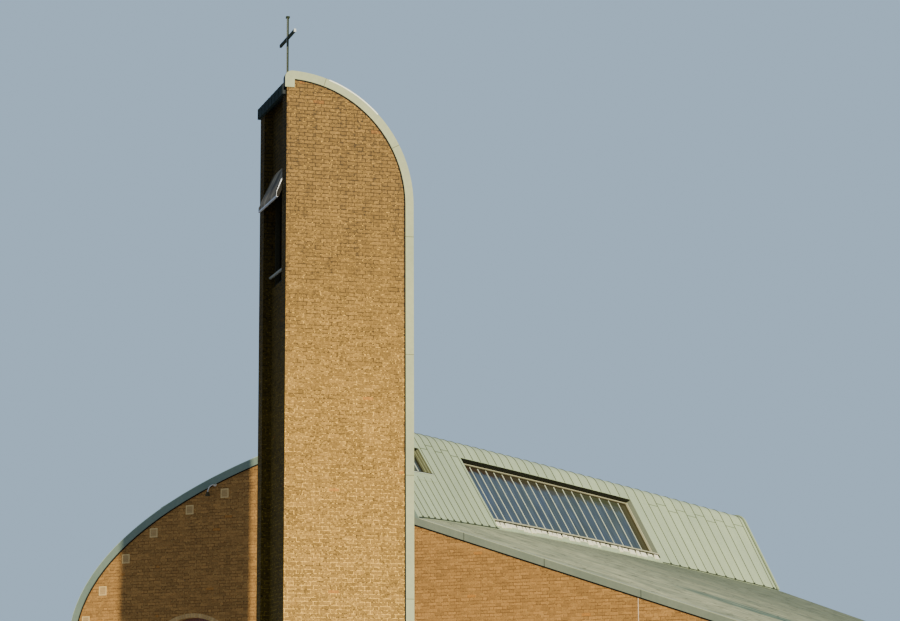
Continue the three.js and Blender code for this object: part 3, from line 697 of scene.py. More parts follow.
def shell_line(out, steps, eased=True):
    """The roof's section from the left foot to the end of the ridge's curve, raised by a distance.
    Eased, the rise starts from nothing at the foot."""
    across = (RIDGE.x - SHELL_CENTRE.x) / SHELL_HALF.x
    climb = -SHELL_HALF.y / SHELL_HALF.x * across / math.sqrt(1.0 - across * across)
    up = Vector((1.0, climb)).normalized()
    turn = up.angle(DOWN)
    ridge_start = RIDGE - up * (RIDGE_RADIUS * math.tan(turn / 2.0))
    last = math.acos((ridge_start.x - SHELL_CENTRE.x) / SHELL_HALF.x)
    points = []
    for i in range(steps):
        angle = math.pi - (math.pi - last) * i / steps
        normal = Vector((math.cos(angle) / SHELL_HALF.x, math.sin(angle) / SHELL_HALF.y)).normalized()
        rise = min(1.0, (i * 8.0 / steps) ** 2) if eased else 1.0
        point = SHELL_CENTRE + Vector((SHELL_HALF.x * math.cos(angle), SHELL_HALF.y * math.sin(angle)))
        point += normal * (COVER + out * rise)
        points.append((point.x + 0.0005, point.y))
    centre = ridge_start + Vector((up.y, -up.x)) * RIDGE_RADIUS
    first = math.atan2(up.x, -up.y)
    for i in range(RIDGE_STEPS + 1):
        angle = first - turn * i / RIDGE_STEPS
        reach = RIDGE_RADIUS + out
        points.append((centre.x + reach * math.cos(angle), centre.y + reach * math.sin(angle)))
    return points


def along_nave(bm, outline, start, end, steps):
    """Carries an outline in X and Z along the nave's bend, between two distances."""
    corners = [bm.verts.new((x, ARC_CENTRE.y, z + LOWER_PITCH * x)) for x, z in outline]
    bmesh.ops.rotate(bm, cent=ARC_CENTRE, verts=corners,
                     matrix=Matrix.Rotation(-start / ARC_RADIUS, 3, "Z"))
    face = bm.faces.new(corners)
    bmesh.ops.spin(bm, geom=[face, *face.edges, *face.verts], cent=ARC_CENTRE, axis=(0.0, 0.0, -1.0),
                   angle=(end - start) / ARC_RADIUS, steps=steps)


def slope_patch(bm, start, end, top, foot, under, over, steps=1):
    """A strip of the steep slope between two distances along the nave, two down the slope and two
    out of its face."""
    along_nave(bm, [slope_point(top, over), slope_point(foot, over), slope_point(foot, under),
                    slope_point(top, under)], start, end, steps)


def fix_on_roof(name, bm, finish, smooth_below=None):
    """Lets a mesh down to the right by the lower roof's pitch, once all is carried round the bend."""
    fall = Matrix.Identity(4)
    fall[2][0] = -LOWER_PITCH
    bmesh.ops.transform(bm, matrix=fall, verts=bm.verts)
    return fix_piece(name, bm, finish, smooth_below)


def fix_patches(name, patches, finish):
    """One piece from several strips of the steep slope."""
    bm = bmesh.new()
    for patch in patches:
        slope_patch(bm, *patch)
    return fix_on_roof(name, bm, finish)


def cut_off(bm, place, outward):
    """Trims what lies past a plane and closes the cut."""
    cut = bmesh.ops.bisect_plane(bm, geom=[*bm.verts, *bm.edges, *bm.faces], plane_co=place,
                                 plane_no=outward, clear_outer=True)
    edges = [part for part in cut["geom_cut"] if isinstance(part, bmesh.types.BMEdge)]
    bmesh.ops.holes_fill(bm, edges=edges, sides=0)


def cut_at_gables(bm, proud):
    """Trims what stands further than a distance from the two gables."""
    turn = ARC_END / ARC_RADIUS
    back = Vector((math.sin(turn), math.cos(turn), 0.0))
    corner = ARC_CENTRE + Vector((-math.cos(turn), math.sin(turn), 0.0)) * ARC_RADIUS
    cut_off(bm, (0.0, FRONT - proud, 0.0), (0.0, -1.0, 0.0))
    cut_off(bm, corner + back * proud, back)


def seam_place(number):
    """Distance of a seam along the bend. The bays are a little wider towards the front."""
    if number < 0:
        return SEAM_ZERO + number * SEAM_PITCHES[0]
    middle = min(number, MIDDLE_BAYS)
    return SEAM_ZERO + middle * SEAM_PITCHES[1] + (number - middle) * SEAM_PITCHES[2]


def bend_place(tree):
    """Distance along the bend, and the section's X, of a point on a piece."""
    x, y, _ = place_of(tree)
    across = minus(tree, ARC_CENTRE.x, x)
    ahead = minus(tree, y, ARC_CENTRE.y)
    along = times(tree, calc(tree, "ARCTAN2", ahead, across), ARC_RADIUS)
    radius = calc(tree, "SQRT", plus(tree, times(tree, across, across), times(tree, ahead, ahead)))
    return along, minus(tree, ARC_CENTRE.x, radius)


def bay_chance(tree, along):
    """A chance number for each sheet between two seams."""
    middle_end = SEAM_ZERO + MIDDLE_BAYS * SEAM_PITCHES[1]
    before = calc(tree, "DIVIDE", calc(tree, "MINIMUM", minus(tree, along, SEAM_ZERO), 0.0),
                  SEAM_PITCHES[0])
    middle = ranged(tree, along, SEAM_ZERO, middle_end, 0.0, float(MIDDLE_BAYS))
    after = calc(tree, "DIVIDE", calc(tree, "MAXIMUM", minus(tree, along, middle_end), 0.0),
                 SEAM_PITCHES[2])
    chance = tree.nodes.new("ShaderNodeTexWhiteNoise")
    chance.noise_dimensions = "1D"
    bay = calc(tree, "FLOOR", plus(tree, plus(tree, before, middle), after))
    tree.links.new(bay, chance.inputs["W"])
    return chance.outputs["Value"]


def streaked(tree, first, second, first_scale, second_scale):
    """Noise over two distances on a piece, from 0 to 1."""
    spot = tree.nodes.new("ShaderNodeCombineXYZ")
    feed(tree, spot.inputs[0], times(tree, first, first_scale))
    feed(tree, spot.inputs[1], times(tree, second, second_scale))
    noise = tree.nodes.new("ShaderNodeTexNoise")
    noise.inputs["Scale"].default_value = 1.0
    noise.inputs["Detail"].default_value = 4.0
    tree.links.new(spot.outputs[0], noise.inputs["Vector"])
    return noise.outputs["Fac"]


def patinated_copper():
    """Pale patinated copper, each sheet a little different, with faint streaks down its fall."""
    finish, shader, tree = new_finish("pale_copper_sheet", 0.6, 0.1)
    along, across = bend_place(tree)
    streaks = ranged(tree, streaked(tree, along, across, 6.0, 0.8), 0.4, 0.72)
    base = blended(tree, times(tree, streaks, 0.4), colour(182, 194, 144), colour(164, 176, 134))
    patches = ranged(tree, mottle(tree, (1.0, 1.0, 1.0), 0.5, 3.0), 0.5, 0.72)
    base = blended(tree, times(tree, patches, 0.5), base, colour(164, 178, 138))
    base = scaled(tree, base, ranged(tree, bay_chance(tree, along), 0.0, 1.0, 0.93, 1.06))
    speck = ranged(tree, mottle(tree, (1.0, 1.0, 1.0), 22.0, 2.0), 0.35, 0.65, 0.94, 1.05)
    paint(tree, shader, scaled(tree, base, speck))
    relief(tree, shader, mottle(tree, (1.0, 1.0, 1.0), 1.6, 2.0), 0.012)
    return finish


pale_sheet = patinated_copper()
# The seams are dark with dirt along them and with painted shade, for the shadow beside each rib.
seam_dirt_and_shade = plain_finish("seam_copper_dirt_and_shade", colour(78, 84, 64), 0.7, 0.2)
dress(pale_sheet, "left_roof_shell", "ridge_roof", "slope_foot_roof", "front_slope_roof",
      "back_slope_roof", "short_window_sill_flashing")

sheets = bmesh.new()
upper = shell_line(SHEET, 60) + [slope_point(WINDOW_HEAD - SHEET_SUNK, SHEET)]
under = shell_line(-SHEET_SUNK, 60) + [slope_point(WINDOW_HEAD - SHEET_SUNK, -SHEET_SUNK)]
along_nave(sheets, upper + under[::-1], ARC_START, ARC_END + VERGE, 92)
for start, end, top in (
    (ARC_START, SHORT_NEAR, WINDOW_HEAD - SHEET_SUNK),
    (SHORT_NEAR, SHORT_FAR, SHORT_SILL),
    (SHORT_FAR, LONG_NEAR, WINDOW_HEAD - SHEET_SUNK),
    (LONG_NEAR, LONG_FAR, LONG_SILL),
    (LONG_FAR, ARC_END + VERGE, WINDOW_HEAD - SHEET_SUNK),
):
    steps = max(2, round((end - start) * 4))
    slope_patch(sheets, start, end, top, SHEET_FOOT, -SHEET_SUNK, SHEET, steps)
cut_at_gables(sheets, VERGE)
fix_on_roof("roof_sheets", sheets, pale_sheet, 25.0)


def seam_rib(bm, start, end, high, tail):
    """A rib over the whole section, from the left foot to the end of its tail down the slope."""
    top = shell_line(high, 40) + [slope_point(s, out) for s, out in tail]
    base = shell_line(0.0, 40) + [slope_point(tail[-1][0], 0.0)]
    along_nave(bm, top + base[::-1], start, end, 1)


seams = bmesh.new()
for number in range(FIRST_SEAM, LAST_SEAM + 1):
    middle = seam_place(number)
    start = middle - SEAM_WIDE / 2.0
    end = middle + SEAM_WIDE / 2.0
    in_long = LONG_NEAR - 0.02 < middle < LONG_FAR + 0.02
    in_short = SHORT_NEAR - 0.02 < middle < SHORT_FAR + 0.02
    stop = WINDOW_HEAD - 0.01 if in_long or in_short else SHEET_FOOT
    seam_rib(seams, start, end, SEAM_HIGH, [(stop - 0.02, SEAM_HIGH), (stop, SHEET + 0.004)])
    if in_short:
        slope_patch(seams, start, end, SHORT_SILL + 0.14, SHEET_FOOT, 0.0, SEAM_HIGH)
seam_rib(seams, *VERGE_SEAM, SEAM_HIGH, [(SHEET_FOOT, SEAM_HIGH)])
cut_at_gables(seams, SEAM_CUT)
fix_on_roof("standing_seams", seams, seam_dirt_and_shade)

fix_patches("cross_welts", [(seam_place(bay) + 0.01, seam_place(bay + 1) - 0.01, s, s + WELT_WIDE, 0.0,
                             SHEET + 0.006) for bay, s in WELTS],
            plain_finish("welt_copper", colour(112, 122, 88), 0.7, 0.15))

seam_ends_and_foot_shadow = bmesh.new()
for number in range(FIRST_SEAM, LAST_SEAM + 1):
    middle = seam_place(number)
    if not LONG_NEAR < middle < LONG_FAR:
        slope_patch(seam_ends_and_foot_shadow, middle - SEAM_END_HALF, middle + SEAM_END_HALF, SHEET_FOOT - 0.05,
                    SHEET_FOOT + 0.004, 0.0, SEAM_HIGH + 0.012)
# A dark strip along the sheets' foot is painted shadow of the gap under them.
for start, end in ((ARC_START, LONG_NEAR), (LONG_FAR, ARC_END)):
    slope_patch(seam_ends_and_foot_shadow, start, end, SHEET_FOOT - 0.028, SHEET_FOOT + 0.003, 0.0, SHEET + 0.004,
                round((end - start) * 4))
cut_at_gables(seam_ends_and_foot_shadow, SEAM_CUT)
fix_on_roof("seam_ends_and_foot_shadow", seam_ends_and_foot_shadow, plain_finish("dark_copper_and_painted_shadow", colour(58, 64, 46), 0.7, 0.2))

roll = bmesh.new()
seam_rib(roll, *VERGE_ROLL, VERGE_ROLL_HIGH,
         [(SHEET_FOOT - 0.01, VERGE_ROLL_HIGH), (SHEET_FOOT, 0.012)])
cut_at_gables(roll, VERGE)
fix_on_roof("far_verge_rolls", roll, plain_finish("verge_copper", colour(166, 178, 136), 0.6, 0.12),
            25.0)


# Long window. A run of glass behind thin pale bars, one to a roof bay, in an olive frame set deep in
# the slope. The reveals are lined with sheet, dark at the head as painted shade, and white flashing is
# dressed down in ragged lengths below the sill, over a dark strip of painted shadow that shows above
# and between them.
PANE_DEEP = 0.2
FRAME = 0.06
BAR_WIDE = 0.019
BAR_DEEP = 0.013
FIRST_BAR = -1.84
BAR_PITCH = 0.477
BARS = 18
SIDE_GAP = 0.004
LINING_DEEP = 0.164
HEAD_SHADE = (WINDOW_HEAD + 0.001, WINDOW_HEAD + 0.005, -LINING_DEEP, 0.006)
STRIP_DEEP = 0.17
LONG_STEPS = 36
RAIL = (2.462, 2.500)
RAIL_GAP = 0.05
DARK_STRIP_FOOT = 2.605
FLASHING_FOOT = (2.62, 2.72)
LUMP_LENGTH = (0.2, 0.42)
LUMP_GAP = (0.06, 0.12)
LUMP_HIGH = (0.016, 0.04)


def window_glass():
    """Glass painted with a reflection of the sky, with painted shadow at the head, brown to green, and
    at the far end.
    """
    finish, shader, tree = new_finish("window_glass", 0.15, 0.0, 0.12)
    along, across = bend_place(tree)
    down = calc(tree, "DIVIDE", minus(tree, across, RIDGE.x + OUT.x * -PANE_DEEP), DOWN.x)
    ragged = ranged(tree, streaked(tree, along, down, 5.0, 0.6), 0.3, 0.7, -0.13, 0.13)
    # The upper part of the glass, down to a ragged edge, is painted shadow of the window's head.
    deep = ranged(tree, along, LONG_NEAR, LONG_FAR, 0.80, 0.98)
    upper = ranged(tree, plus(tree, down, ragged), minus(tree, deep, 0.03), plus(tree, deep, 0.03),
                   1.0, 0.0)
    head_shadow_tone = blended(tree, ranged(tree, along, -2.0, 5.0), colour(54, 42, 30), colour(62, 66, 46))
    # The sky seen in the glass is a painted reflection.
    cloud = ranged(tree, streaked(tree, along, down, 1.3, 1.1), 0.3, 0.7)
    sky_reflection_tone = blended(tree, cloud, colour(62, 72, 64), colour(64, 76, 84))
    smear = ranged(tree, streaked(tree, along, down, 9.0, 1.4), 0.4, 0.62, 0.8, 1.15)
    tone = blended(tree, upper, scaled(tree, sky_reflection_tone, smear), head_shadow_tone)
    # A dark olive band at the far end is painted shadow of the far jamb.
    tone = blended(tree, ranged(tree, along, 6.22, 6.3), tone, colour(58, 56, 36))
    paint(tree, shader, tone)
    return finish


def bar_patches(middles, sill):
    """The strips of a window's bars, from frame to frame."""
    return [(middle - BAR_WIDE / 2.0, middle + BAR_WIDE / 2.0, WINDOW_HEAD + FRAME, sill - FRAME,
             -PANE_DEEP, -PANE_DEEP + BAR_DEEP) for middle in middles]


def reveal_patch(far, sill, under, over):
    """A strip of a window's far reveal, between two depths below the slope's face."""
    return far - 0.005, far - 0.001, WINDOW_HEAD + 0.006, sill - 0.016, under, over


glass = window_glass()
bar_cream = plain_finish("bar_cream", colour(200, 206, 176), 0.6, 0.08)
# A dark sheet: painted shade at the window heads and under the flashing, and the short window's frame.
dark_sheet_and_painted_shade = plain_finish("dark_sheet_and_painted_shade", colour(38, 38, 20), 0.8, 0.2)
dress(glass, "long_window_pane", "short_window_pane")
dress(plain_finish("frame_olive", colour(78, 70, 42), 0.7, 0.15), "long_window_frame")
long_span = (LONG_NEAR + SIDE_GAP, LONG_FAR - SIDE_GAP)
long_bars = [FIRST_BAR + i * BAR_PITCH for i in range(BARS)]
fix_patches("long_window_bars", bar_patches(long_bars, LONG_SILL), bar_cream)
fix_patches("long_window_rail", [
    (*long_span, *RAIL, 0.012, 0.028, LONG_STEPS),
    (LONG_FAR - 0.062, LONG_FAR - 0.03, WINDOW_HEAD + 0.03, LONG_SILL - 0.03, -STRIP_DEEP, -0.12),
    (*long_span, WINDOW_HEAD + 0.025, WINDOW_HEAD + 0.05, -STRIP_DEEP, -0.14, LONG_STEPS),
], plain_finish("rail_grey", colour(176, 172, 132), 0.6, 0.06))
# The dark head lining is painted shade, and the dark strip above and under the flashing is painted
# shadow.
fix_patches("long_window_painted_shade", [
    (*long_span, *HEAD_SHADE, LONG_STEPS),
    (*long_span, RAIL[1], DARK_STRIP_FOOT, 0.009, 0.0125, LONG_STEPS),
], dark_sheet_and_painted_shade)
fix_patches("long_window_far_lining", [reveal_patch(LONG_FAR, LONG_SILL, -LINING_DEEP, 0.004)],
            plain_finish("reveal_sheet", colour(124, 130, 104), 0.7, 0.1))

lumps = [(LONG_NEAR + 0.002, LONG_FAR - 0.002, LONG_SILL - 0.012, LONG_SILL - 0.001, -0.16, 0.010,
          LONG_STEPS)]
lump_start = LONG_NEAR + 0.002
while lump_start < LONG_FAR - 0.1:
    lump_end = min(lump_start + random.uniform(*LUMP_LENGTH), LONG_FAR - 0.002)
    lumps.append((lump_start, lump_end - random.uniform(*LUMP_GAP), RAIL[1] + RAIL_GAP,
                  random.uniform(*FLASHING_FOOT), 0.0, random.uniform(*LUMP_HIGH)))
    lump_start = lump_end
white_flashing = fix_patches("long_window_flashing", lumps,
                             plain_finish("flashing_white", colour(244, 236, 196), 0.6, 0.05))
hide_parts("long_window_sill_flashing")


# Short window. The same glass and bars in a dark frame, with a plain sill bar and no white flashing.
# The far reveal is dressed in olive sheet with two pale beads.
SHORT_BARS = (-6.70, -6.22, -5.74)
BEADS = (-0.120, -0.108, -0.056, -0.044)

dress(dark_sheet_and_painted_shade, "short_window_frame")
fix_patches("short_window_bars", bar_patches(SHORT_BARS, SHORT_SILL) + [
    (SHORT_NEAR, SHORT_FAR + 0.01, SHORT_SILL + 0.012, SHORT_SILL + 0.03, -0.004, 0.03, 4),
], bar_cream)
# The dark head lining is painted shade.
fix_patches("short_window_painted_head_shade_and_sill", [
    (SHORT_NEAR + SIDE_GAP, SHORT_FAR - SIDE_GAP, *HEAD_SHADE, 6),
    (SHORT_NEAR, SHORT_FAR + 0.03, SHORT_SILL - 0.02, SHORT_SILL + 0.006, 0.0, 0.02, 4),
], dark_sheet_and_painted_shade)
olive = ((-LINING_DEEP, BEADS[0]), BEADS[1:3], (BEADS[3], 0.004))
fix_patches("short_window_reveal", [reveal_patch(SHORT_FAR, SHORT_SILL, *depths) for depths in olive],
            plain_finish("reveal_olive", colour(88, 90, 58), 0.7, 0.15))
pale = (BEADS[:2], BEADS[2:])
fix_patches("short_window_reveal_beads",
            [reveal_patch(SHORT_FAR, SHORT_SILL, *depths) for depths in pale],
            plain_finish("bead_pale", colour(140, 144, 106), 0.7, 0.1))


# Lower roof. Flat sheet metal, dull green and streaked down its fall, darker near the steep slope
# and stained green in one place. Its front edge is a fascia in lengths, with a dark strip of painted
# shadow under it, and the strip goes on under the gable's coping.
LOWER_EDGE_X = 11.5
RIGHT_FACE = 11.25
FASCIA_JOINTS = (-0.39, 1.65, 4.01, 6.4, 8.8)
FASCIA_FOOT = 0.171
FASCIA_PROUD = 0.0525
FASCIA_BACK = 0.04
FASCIA_JOINT_PROUD = 0.055
FASCIA_JOINT_HALF = 0.008
SHADOW_STRIP_PROUD = 0.02
SHADOW_STRIP_TOP = 0.172
SHADOW_STRIP_FOOT = 0.198
GABLE_SHADOW_FOOT = 0.196
GABLE_SHADOW_END = -6.6
STAIN_MIDDLE = (4.6, -5.9)
STAIN_HALF = (2.6, 1.0)


def lower_sheet():
    finish, shader, tree = new_finish("lower_roof_sheet", 0.85, 0.0, 0.1)
    x, y, _ = place_of(tree)
    streaks = ranged(tree, streaked(tree, y, x, 0.9, 0.6), 0.4, 0.62)
    fine = ranged(tree, streaked(tree, y, x, 3.2, 2.4), 0.35, 0.65, 0.80, 1.16)
    base = blended(tree, times(tree, streaks, 0.75), colour(184, 182, 134), colour(138, 143, 107))
    _, across = bend_place(tree)
    near_foot = ranged(tree, across, SLOPE_FOOT.x + 2.2, SLOPE_FOOT.x + 0.2, 0.0, 0.35)
    base = blended(tree, near_foot, base, colour(126, 132, 100))
    far = ranged(tree, y, -8.0, 3.0, 0.0, 0.8)
    base = blended(tree, far, base, colour(104, 112, 84))
    stain_x = calc(tree, "DIVIDE", minus(tree, x, STAIN_MIDDLE[0]), STAIN_HALF[0])
    stain_y = calc(tree, "DIVIDE", minus(tree, y, STAIN_MIDDLE[1]), STAIN_HALF[1])
    reach = plus(tree, times(tree, stain_x, stain_x), times(tree, stain_y, stain_y))
    ragged = ranged(tree, streaked(tree, y, x, 3.4, 0.3), 0.36, 0.54)
    stain = times(tree, ranged(tree, reach, 1.2, 0.3), ragged)
    base = blended(tree, times(tree, stain, 0.85), base, colour(72, 104, 86))
    specks = ranged(tree, streaked(tree, y, x, 2.6, 5.0), 0.62, 0.66)
    base = blended(tree, times(tree, specks, 0.75), base, colour(70, 72, 52))
    paint(tree, shader, scaled(tree, base, fine))
    relief(tree, shader, streaks, 0.004)
    return finish


def coping_metal(name, tone, stained, change=None):
    """Sheet metal with short run-off marks. A change gives the share of a second tone, and the tone."""
    finish, shader, tree = new_finish(name, 0.6, 0.0, 0.25)
    patches = ranged(tree, mottle(tree, (1.0, 1.0, 0.6), 1.3, 4.0), 0.42, 0.68)
    base = blended(tree, times(tree, patches, 0.6), tone, stained)
    if change is not None:
        base = blended(tree, change[0](tree), base, change[1])
    grit = ranged(tree, mottle(tree, (1.0, 1.0, 1.0), 14.0, 3.0), 0.3, 0.7, 0.94, 1.06)
    paint(tree, shader, scaled(tree, base, grit))
    relief(tree, shader, mottle(tree, (1.0, 1.0, 1.0), 3.0), 0.002)
    return finish


def fall_z(x, depth):
    """Height under the lower roof's plane, by a depth square to it."""
    return SLOPE_FOOT.y - LOWER_PITCH * (x - SLOPE_FOOT.x) - depth * math.hypot(1.0, LOWER_PITCH)


def sloped_strip(bm, start, end, front, back, over, under):
    """A strip along the lower roof's fall, between two depths below its face."""
    for corner in block(bm, (start, FRONT + front, 0.0), (end, FRONT + back, 1.0)):
        corner.co.z = fall_z(corner.co.x, under if corner.co.z < 0.5 else over)


def drawn_line(depth):
    """The roof's section at a depth below its face, from the left foot to the steep slope's foot."""
    line = shell_line(-depth, 60, False)
    return line[1:] + [slope_point(SLOPE_LENGTH - 0.3 * depth, -depth)]


fascia_metal = coping_metal("fascia_sheet", colour(118, 124, 98), colour(104, 112, 90))
# Near-black strips under the fascia, the gable's coping and the tower's coping are painted shadow.
painted_shadow_dark = plain_finish("painted_shadow_strip", colour(22, 20, 14), 0.9, 0.1)
dress(lower_sheet(), "lower_roof")
dress(coping_metal("verge_band_sheet", colour(172, 174, 132), colour(152, 157, 118)),
      "front_coping_right")
dress(fascia_metal, "eave_board")
dress(coping_metal("gable_coping_sheet", colour(116, 130, 106), colour(100, 118, 98)),
      "front_coping_left", "front_coping_ridge", "back_coping_left", "back_coping_ridge")

fascia = bmesh.new()
sloped_strip(fascia, SLOPE_FOOT.x + 0.2, LOWER_EDGE_X, -FASCIA_PROUD, -FASCIA_BACK, 0.012,
             FASCIA_FOOT)
fix_piece("front_fascia", fascia, fascia_metal)
joints = bmesh.new()
for x in FASCIA_JOINTS:
    sloped_strip(joints, x - FASCIA_JOINT_HALF, x + FASCIA_JOINT_HALF, -FASCIA_JOINT_PROUD,
                 -FASCIA_BACK, 0.006, FASCIA_FOOT)
fix_piece("front_fascia_joints", joints, plain_finish("joint_dark", colour(70, 74, 58), 0.7))
# Painted shadow under the fascia.
fascia_shadow = bmesh.new()
sloped_strip(fascia_shadow, SLOPE_FOOT.x + 0.3, RIGHT_FACE, -SHADOW_STRIP_PROUD, BEDDED, SHADOW_STRIP_TOP, SHADOW_STRIP_FOOT)
fix_piece("front_fascia_painted_shadow", fascia_shadow, painted_shadow_dark)

# Painted shadow under the gable's coping.
gable_shadow = bmesh.new()
along_nave(gable_shadow, drawn_line(SHADOW_STRIP_TOP) + drawn_line(GABLE_SHADOW_FOOT)[::-1], ARC_START,
           GABLE_SHADOW_END, 14)
cut_off(gable_shadow, (0.0, FRONT - SHADOW_STRIP_PROUD, 0.0), (0.0, -1.0, 0.0))
cut_off(gable_shadow, (0.0, FRONT + BEDDED, 0.0), (0.0, 1.0, 0.0))
fix_on_roof("gable_coping_painted_shadow", gable_shadow, painted_shadow_dark)


# Bell tower's metal. A pale coping and end cladding in lengths, with a painted highlight on the
# curve's outer edge and a near-black strip of painted shadow between it and the brickwork. The
# ribbed fascia over the narrow end, and the coping's lower part there, are painted dark as shade.
TOWER_FRAME = Matrix.Translation(TOWER_PLACE) @ Matrix.Rotation(math.radians(TOWER_TURN), 4, "Z")
TOWER_WIDTH = 2.415
TOWER_DEPTH = 2.22
TOWER_TOP = 15.54
SHOULDER = 13.15
FLAT = 0.06
CLAD = 0.165
CLAD_SIDE = 0.025
SKIN = 0.002
COPING_SHADOW_WIDE = 0.024
COPING_SHADOW_PROUD = 0.006
COPING_SHADOW_START = 0.15
COPING_SHADOW_STEPS = 48
CLAD_JOINTS = (0.63, 3.02, 5.40, 7.79, 10.16, 12.51)
CURVE_JOINTS = (0.49, 1.277)
CLAD_JOINT_HALF = 0.007
CURVE_RADIUS = 2.4
HIGHLIGHT_ANGLES = (0.78, 1.25)
HIGHLIGHT_STEPS = 16
FASCIA_FACE = 0.056
FASCIA_LOW = 15.262
FASCIA_TOP = 15.465
FASCIA_SPAN = (0.132, TOWER_DEPTH + 0.024)
RIBS = 8
FIRST_RIB = 0.2
RIB_FACE = 0.066
RIB_HALF = 0.012


def fix_on_tower(name, bm, finish):
    """A mesh in the tower's own frame is set in place and becomes a piece."""
    bmesh.ops.transform(bm, matrix=TOWER_FRAME, verts=bm.verts)
    return fix_piece(name, bm, finish)


def fix_blocks(name, corners, finish):
    """One piece of the tower from several boxes."""
    bm = bmesh.new()
    for low, high in corners:
        block(bm, low, high)
    return fix_on_tower(name, bm, finish)


def tower_curve(out, angle):
    """Point of the quarter-round top, grown outwards by a distance, at an angle from the shoulder."""
    return (FLAT + (TOWER_WIDTH - FLAT + out) * math.cos(angle),
            SHOULDER + (TOWER_TOP - SHOULDER + out) * math.sin(angle))


def tower_arc(out, start, end, steps):
    """Points along the quarter-round top between two angles."""
    return [tower_curve(out, start + (end - start) * i / steps) for i in range(steps + 1)]


def upright_plate(bm, outline, front, back):
    """A plate between two depths, from an outline in X and Z."""
    corners = [bm.verts.new((x, front, z)) for x, z in outline]
    face = bm.faces.new(corners)
    grown = bmesh.ops.extrude_face_region(bm, geom=[face])["geom"]
    moved = [part for part in grown if isinstance(part, bmesh.types.BMVert)]
    bmesh.ops.translate(bm, verts=moved, vec=(0.0, back - front, 0.0))


def coping_end_painted_shade(tree):
    """The lower part of the coping over the narrow end, where shade is painted, as 0 or 1."""
    along, deep = tower_place(tree)
    behind = calc(tree, "GREATER_THAN", deep, -0.02)
    at_end = calc(tree, "LESS_THAN", along, times(tree, calc(tree, "GREATER_THAN", deep, 0.128), 0.17))
    low = calc(tree, "LESS_THAN", place_of(tree)[2], 15.6)
    return times(tree, times(tree, behind, at_end), low)


# Over the narrow end the coping is painted near black: painted shade.
dress(coping_metal("tower_coping_sheet", colour(168, 171, 122), colour(150, 157, 114),
                   (coping_end_painted_shade, colour(18, 28, 24))), "tower_coping", "tower_end_cladding")
# The ribbed fascia over the narrow end is painted dark teal, as painted shade.
fascia_painted_shade = plain_finish("fascia_painted_shade_sheet", colour(24, 38, 26), 0.85, 0.3)
joint_shade = plain_finish("joint_shade", colour(120, 122, 84), 0.7, 0.1)

# A near-black strip under the coping's edge, front and back, is painted shadow.
coping_shadow = bmesh.new()
last_angle = math.acos((COPING_SHADOW_START - FLAT) / (TOWER_WIDTH - FLAT))
outer = [(TOWER_WIDTH, 0.0)] + tower_arc(0.0, 0.0, last_angle, COPING_SHADOW_STEPS)
inner = [(TOWER_WIDTH - COPING_SHADOW_WIDE, 0.0)] + tower_arc(-COPING_SHADOW_WIDE, 0.0, last_angle, COPING_SHADOW_STEPS)
for front, back in ((-COPING_SHADOW_PROUD, BEDDED), (TOWER_DEPTH - BEDDED, TOWER_DEPTH + COPING_SHADOW_PROUD)):
    upright_plate(coping_shadow, outer + inner[::-1], front, back)
fix_on_tower("tower_coping_painted_shadow", coping_shadow, painted_shadow_dark)

clad_joints = bmesh.new()
joint_front = -CLAD_SIDE - SKIN
joint_back = TOWER_DEPTH + CLAD_SIDE + SKIN
for z in CLAD_JOINTS:
    block(clad_joints, (TOWER_WIDTH + SKIN, joint_front, z - CLAD_JOINT_HALF),
          (TOWER_WIDTH + CLAD + SKIN, joint_back, z + CLAD_JOINT_HALF))
half_turn = CLAD_JOINT_HALF / CURVE_RADIUS
for angle in CURVE_JOINTS:
    outline = [tower_curve(SKIN, angle - half_turn), tower_curve(CLAD + SKIN, angle - half_turn),
               tower_curve(CLAD + SKIN, angle + half_turn), tower_curve(SKIN, angle + half_turn)]
    upright_plate(clad_joints, outline, joint_front, joint_back)
fix_on_tower("tower_cladding_joints", clad_joints, joint_shade)

# A pale strip on the outer edge of the curve is a painted highlight.
coping_highlight = bmesh.new()
upright_plate(coping_highlight, tower_arc(CLAD + SKIN, *HIGHLIGHT_ANGLES, HIGHLIGHT_STEPS)
              + tower_arc(CLAD - 0.020, *HIGHLIGHT_ANGLES, HIGHLIGHT_STEPS)[::-1], joint_front, -CLAD_SIDE + 0.01)
fix_on_tower("tower_coping_painted_highlight", coping_highlight,
             plain_finish("coping_highlight_pale", colour(250, 250, 214), 0.5, 0.02))

rib_pitch = (TOWER_DEPTH - 0.25) / (RIBS - 1)
rib_places = [FIRST_RIB + i * rib_pitch for i in range(RIBS)]
fix_blocks("tower_fascia_ribs", [
    ((-FASCIA_FACE - 0.0045, FASCIA_SPAN[0], FASCIA_LOW), (-FASCIA_FACE, FASCIA_SPAN[1], FASCIA_TOP)),
    ((-FASCIA_FACE, FASCIA_SPAN[0], FASCIA_LOW - 0.0035), (-SKIN, FASCIA_SPAN[1], FASCIA_LOW)),
    *(((-RIB_FACE, y - RIB_HALF, FASCIA_LOW), (-FASCIA_FACE, y + RIB_HALF, FASCIA_TOP + 0.005))
      for y in rib_places),
], fascia_painted_shade)


# Bell opening. A hood of grey sheet stands out over it, with a pale lip and a pale edge to the cheek
# that turns to the broad face. A dark frame and a grey rail close the opening.
HOOD_PROUD = 0.11
HOOD_LIP = 13.24
LIP_INSET = 0.342
CHEEK = 0.3425
CHEEK_BEND = 13.56
CHEEK_TOP = 13.70


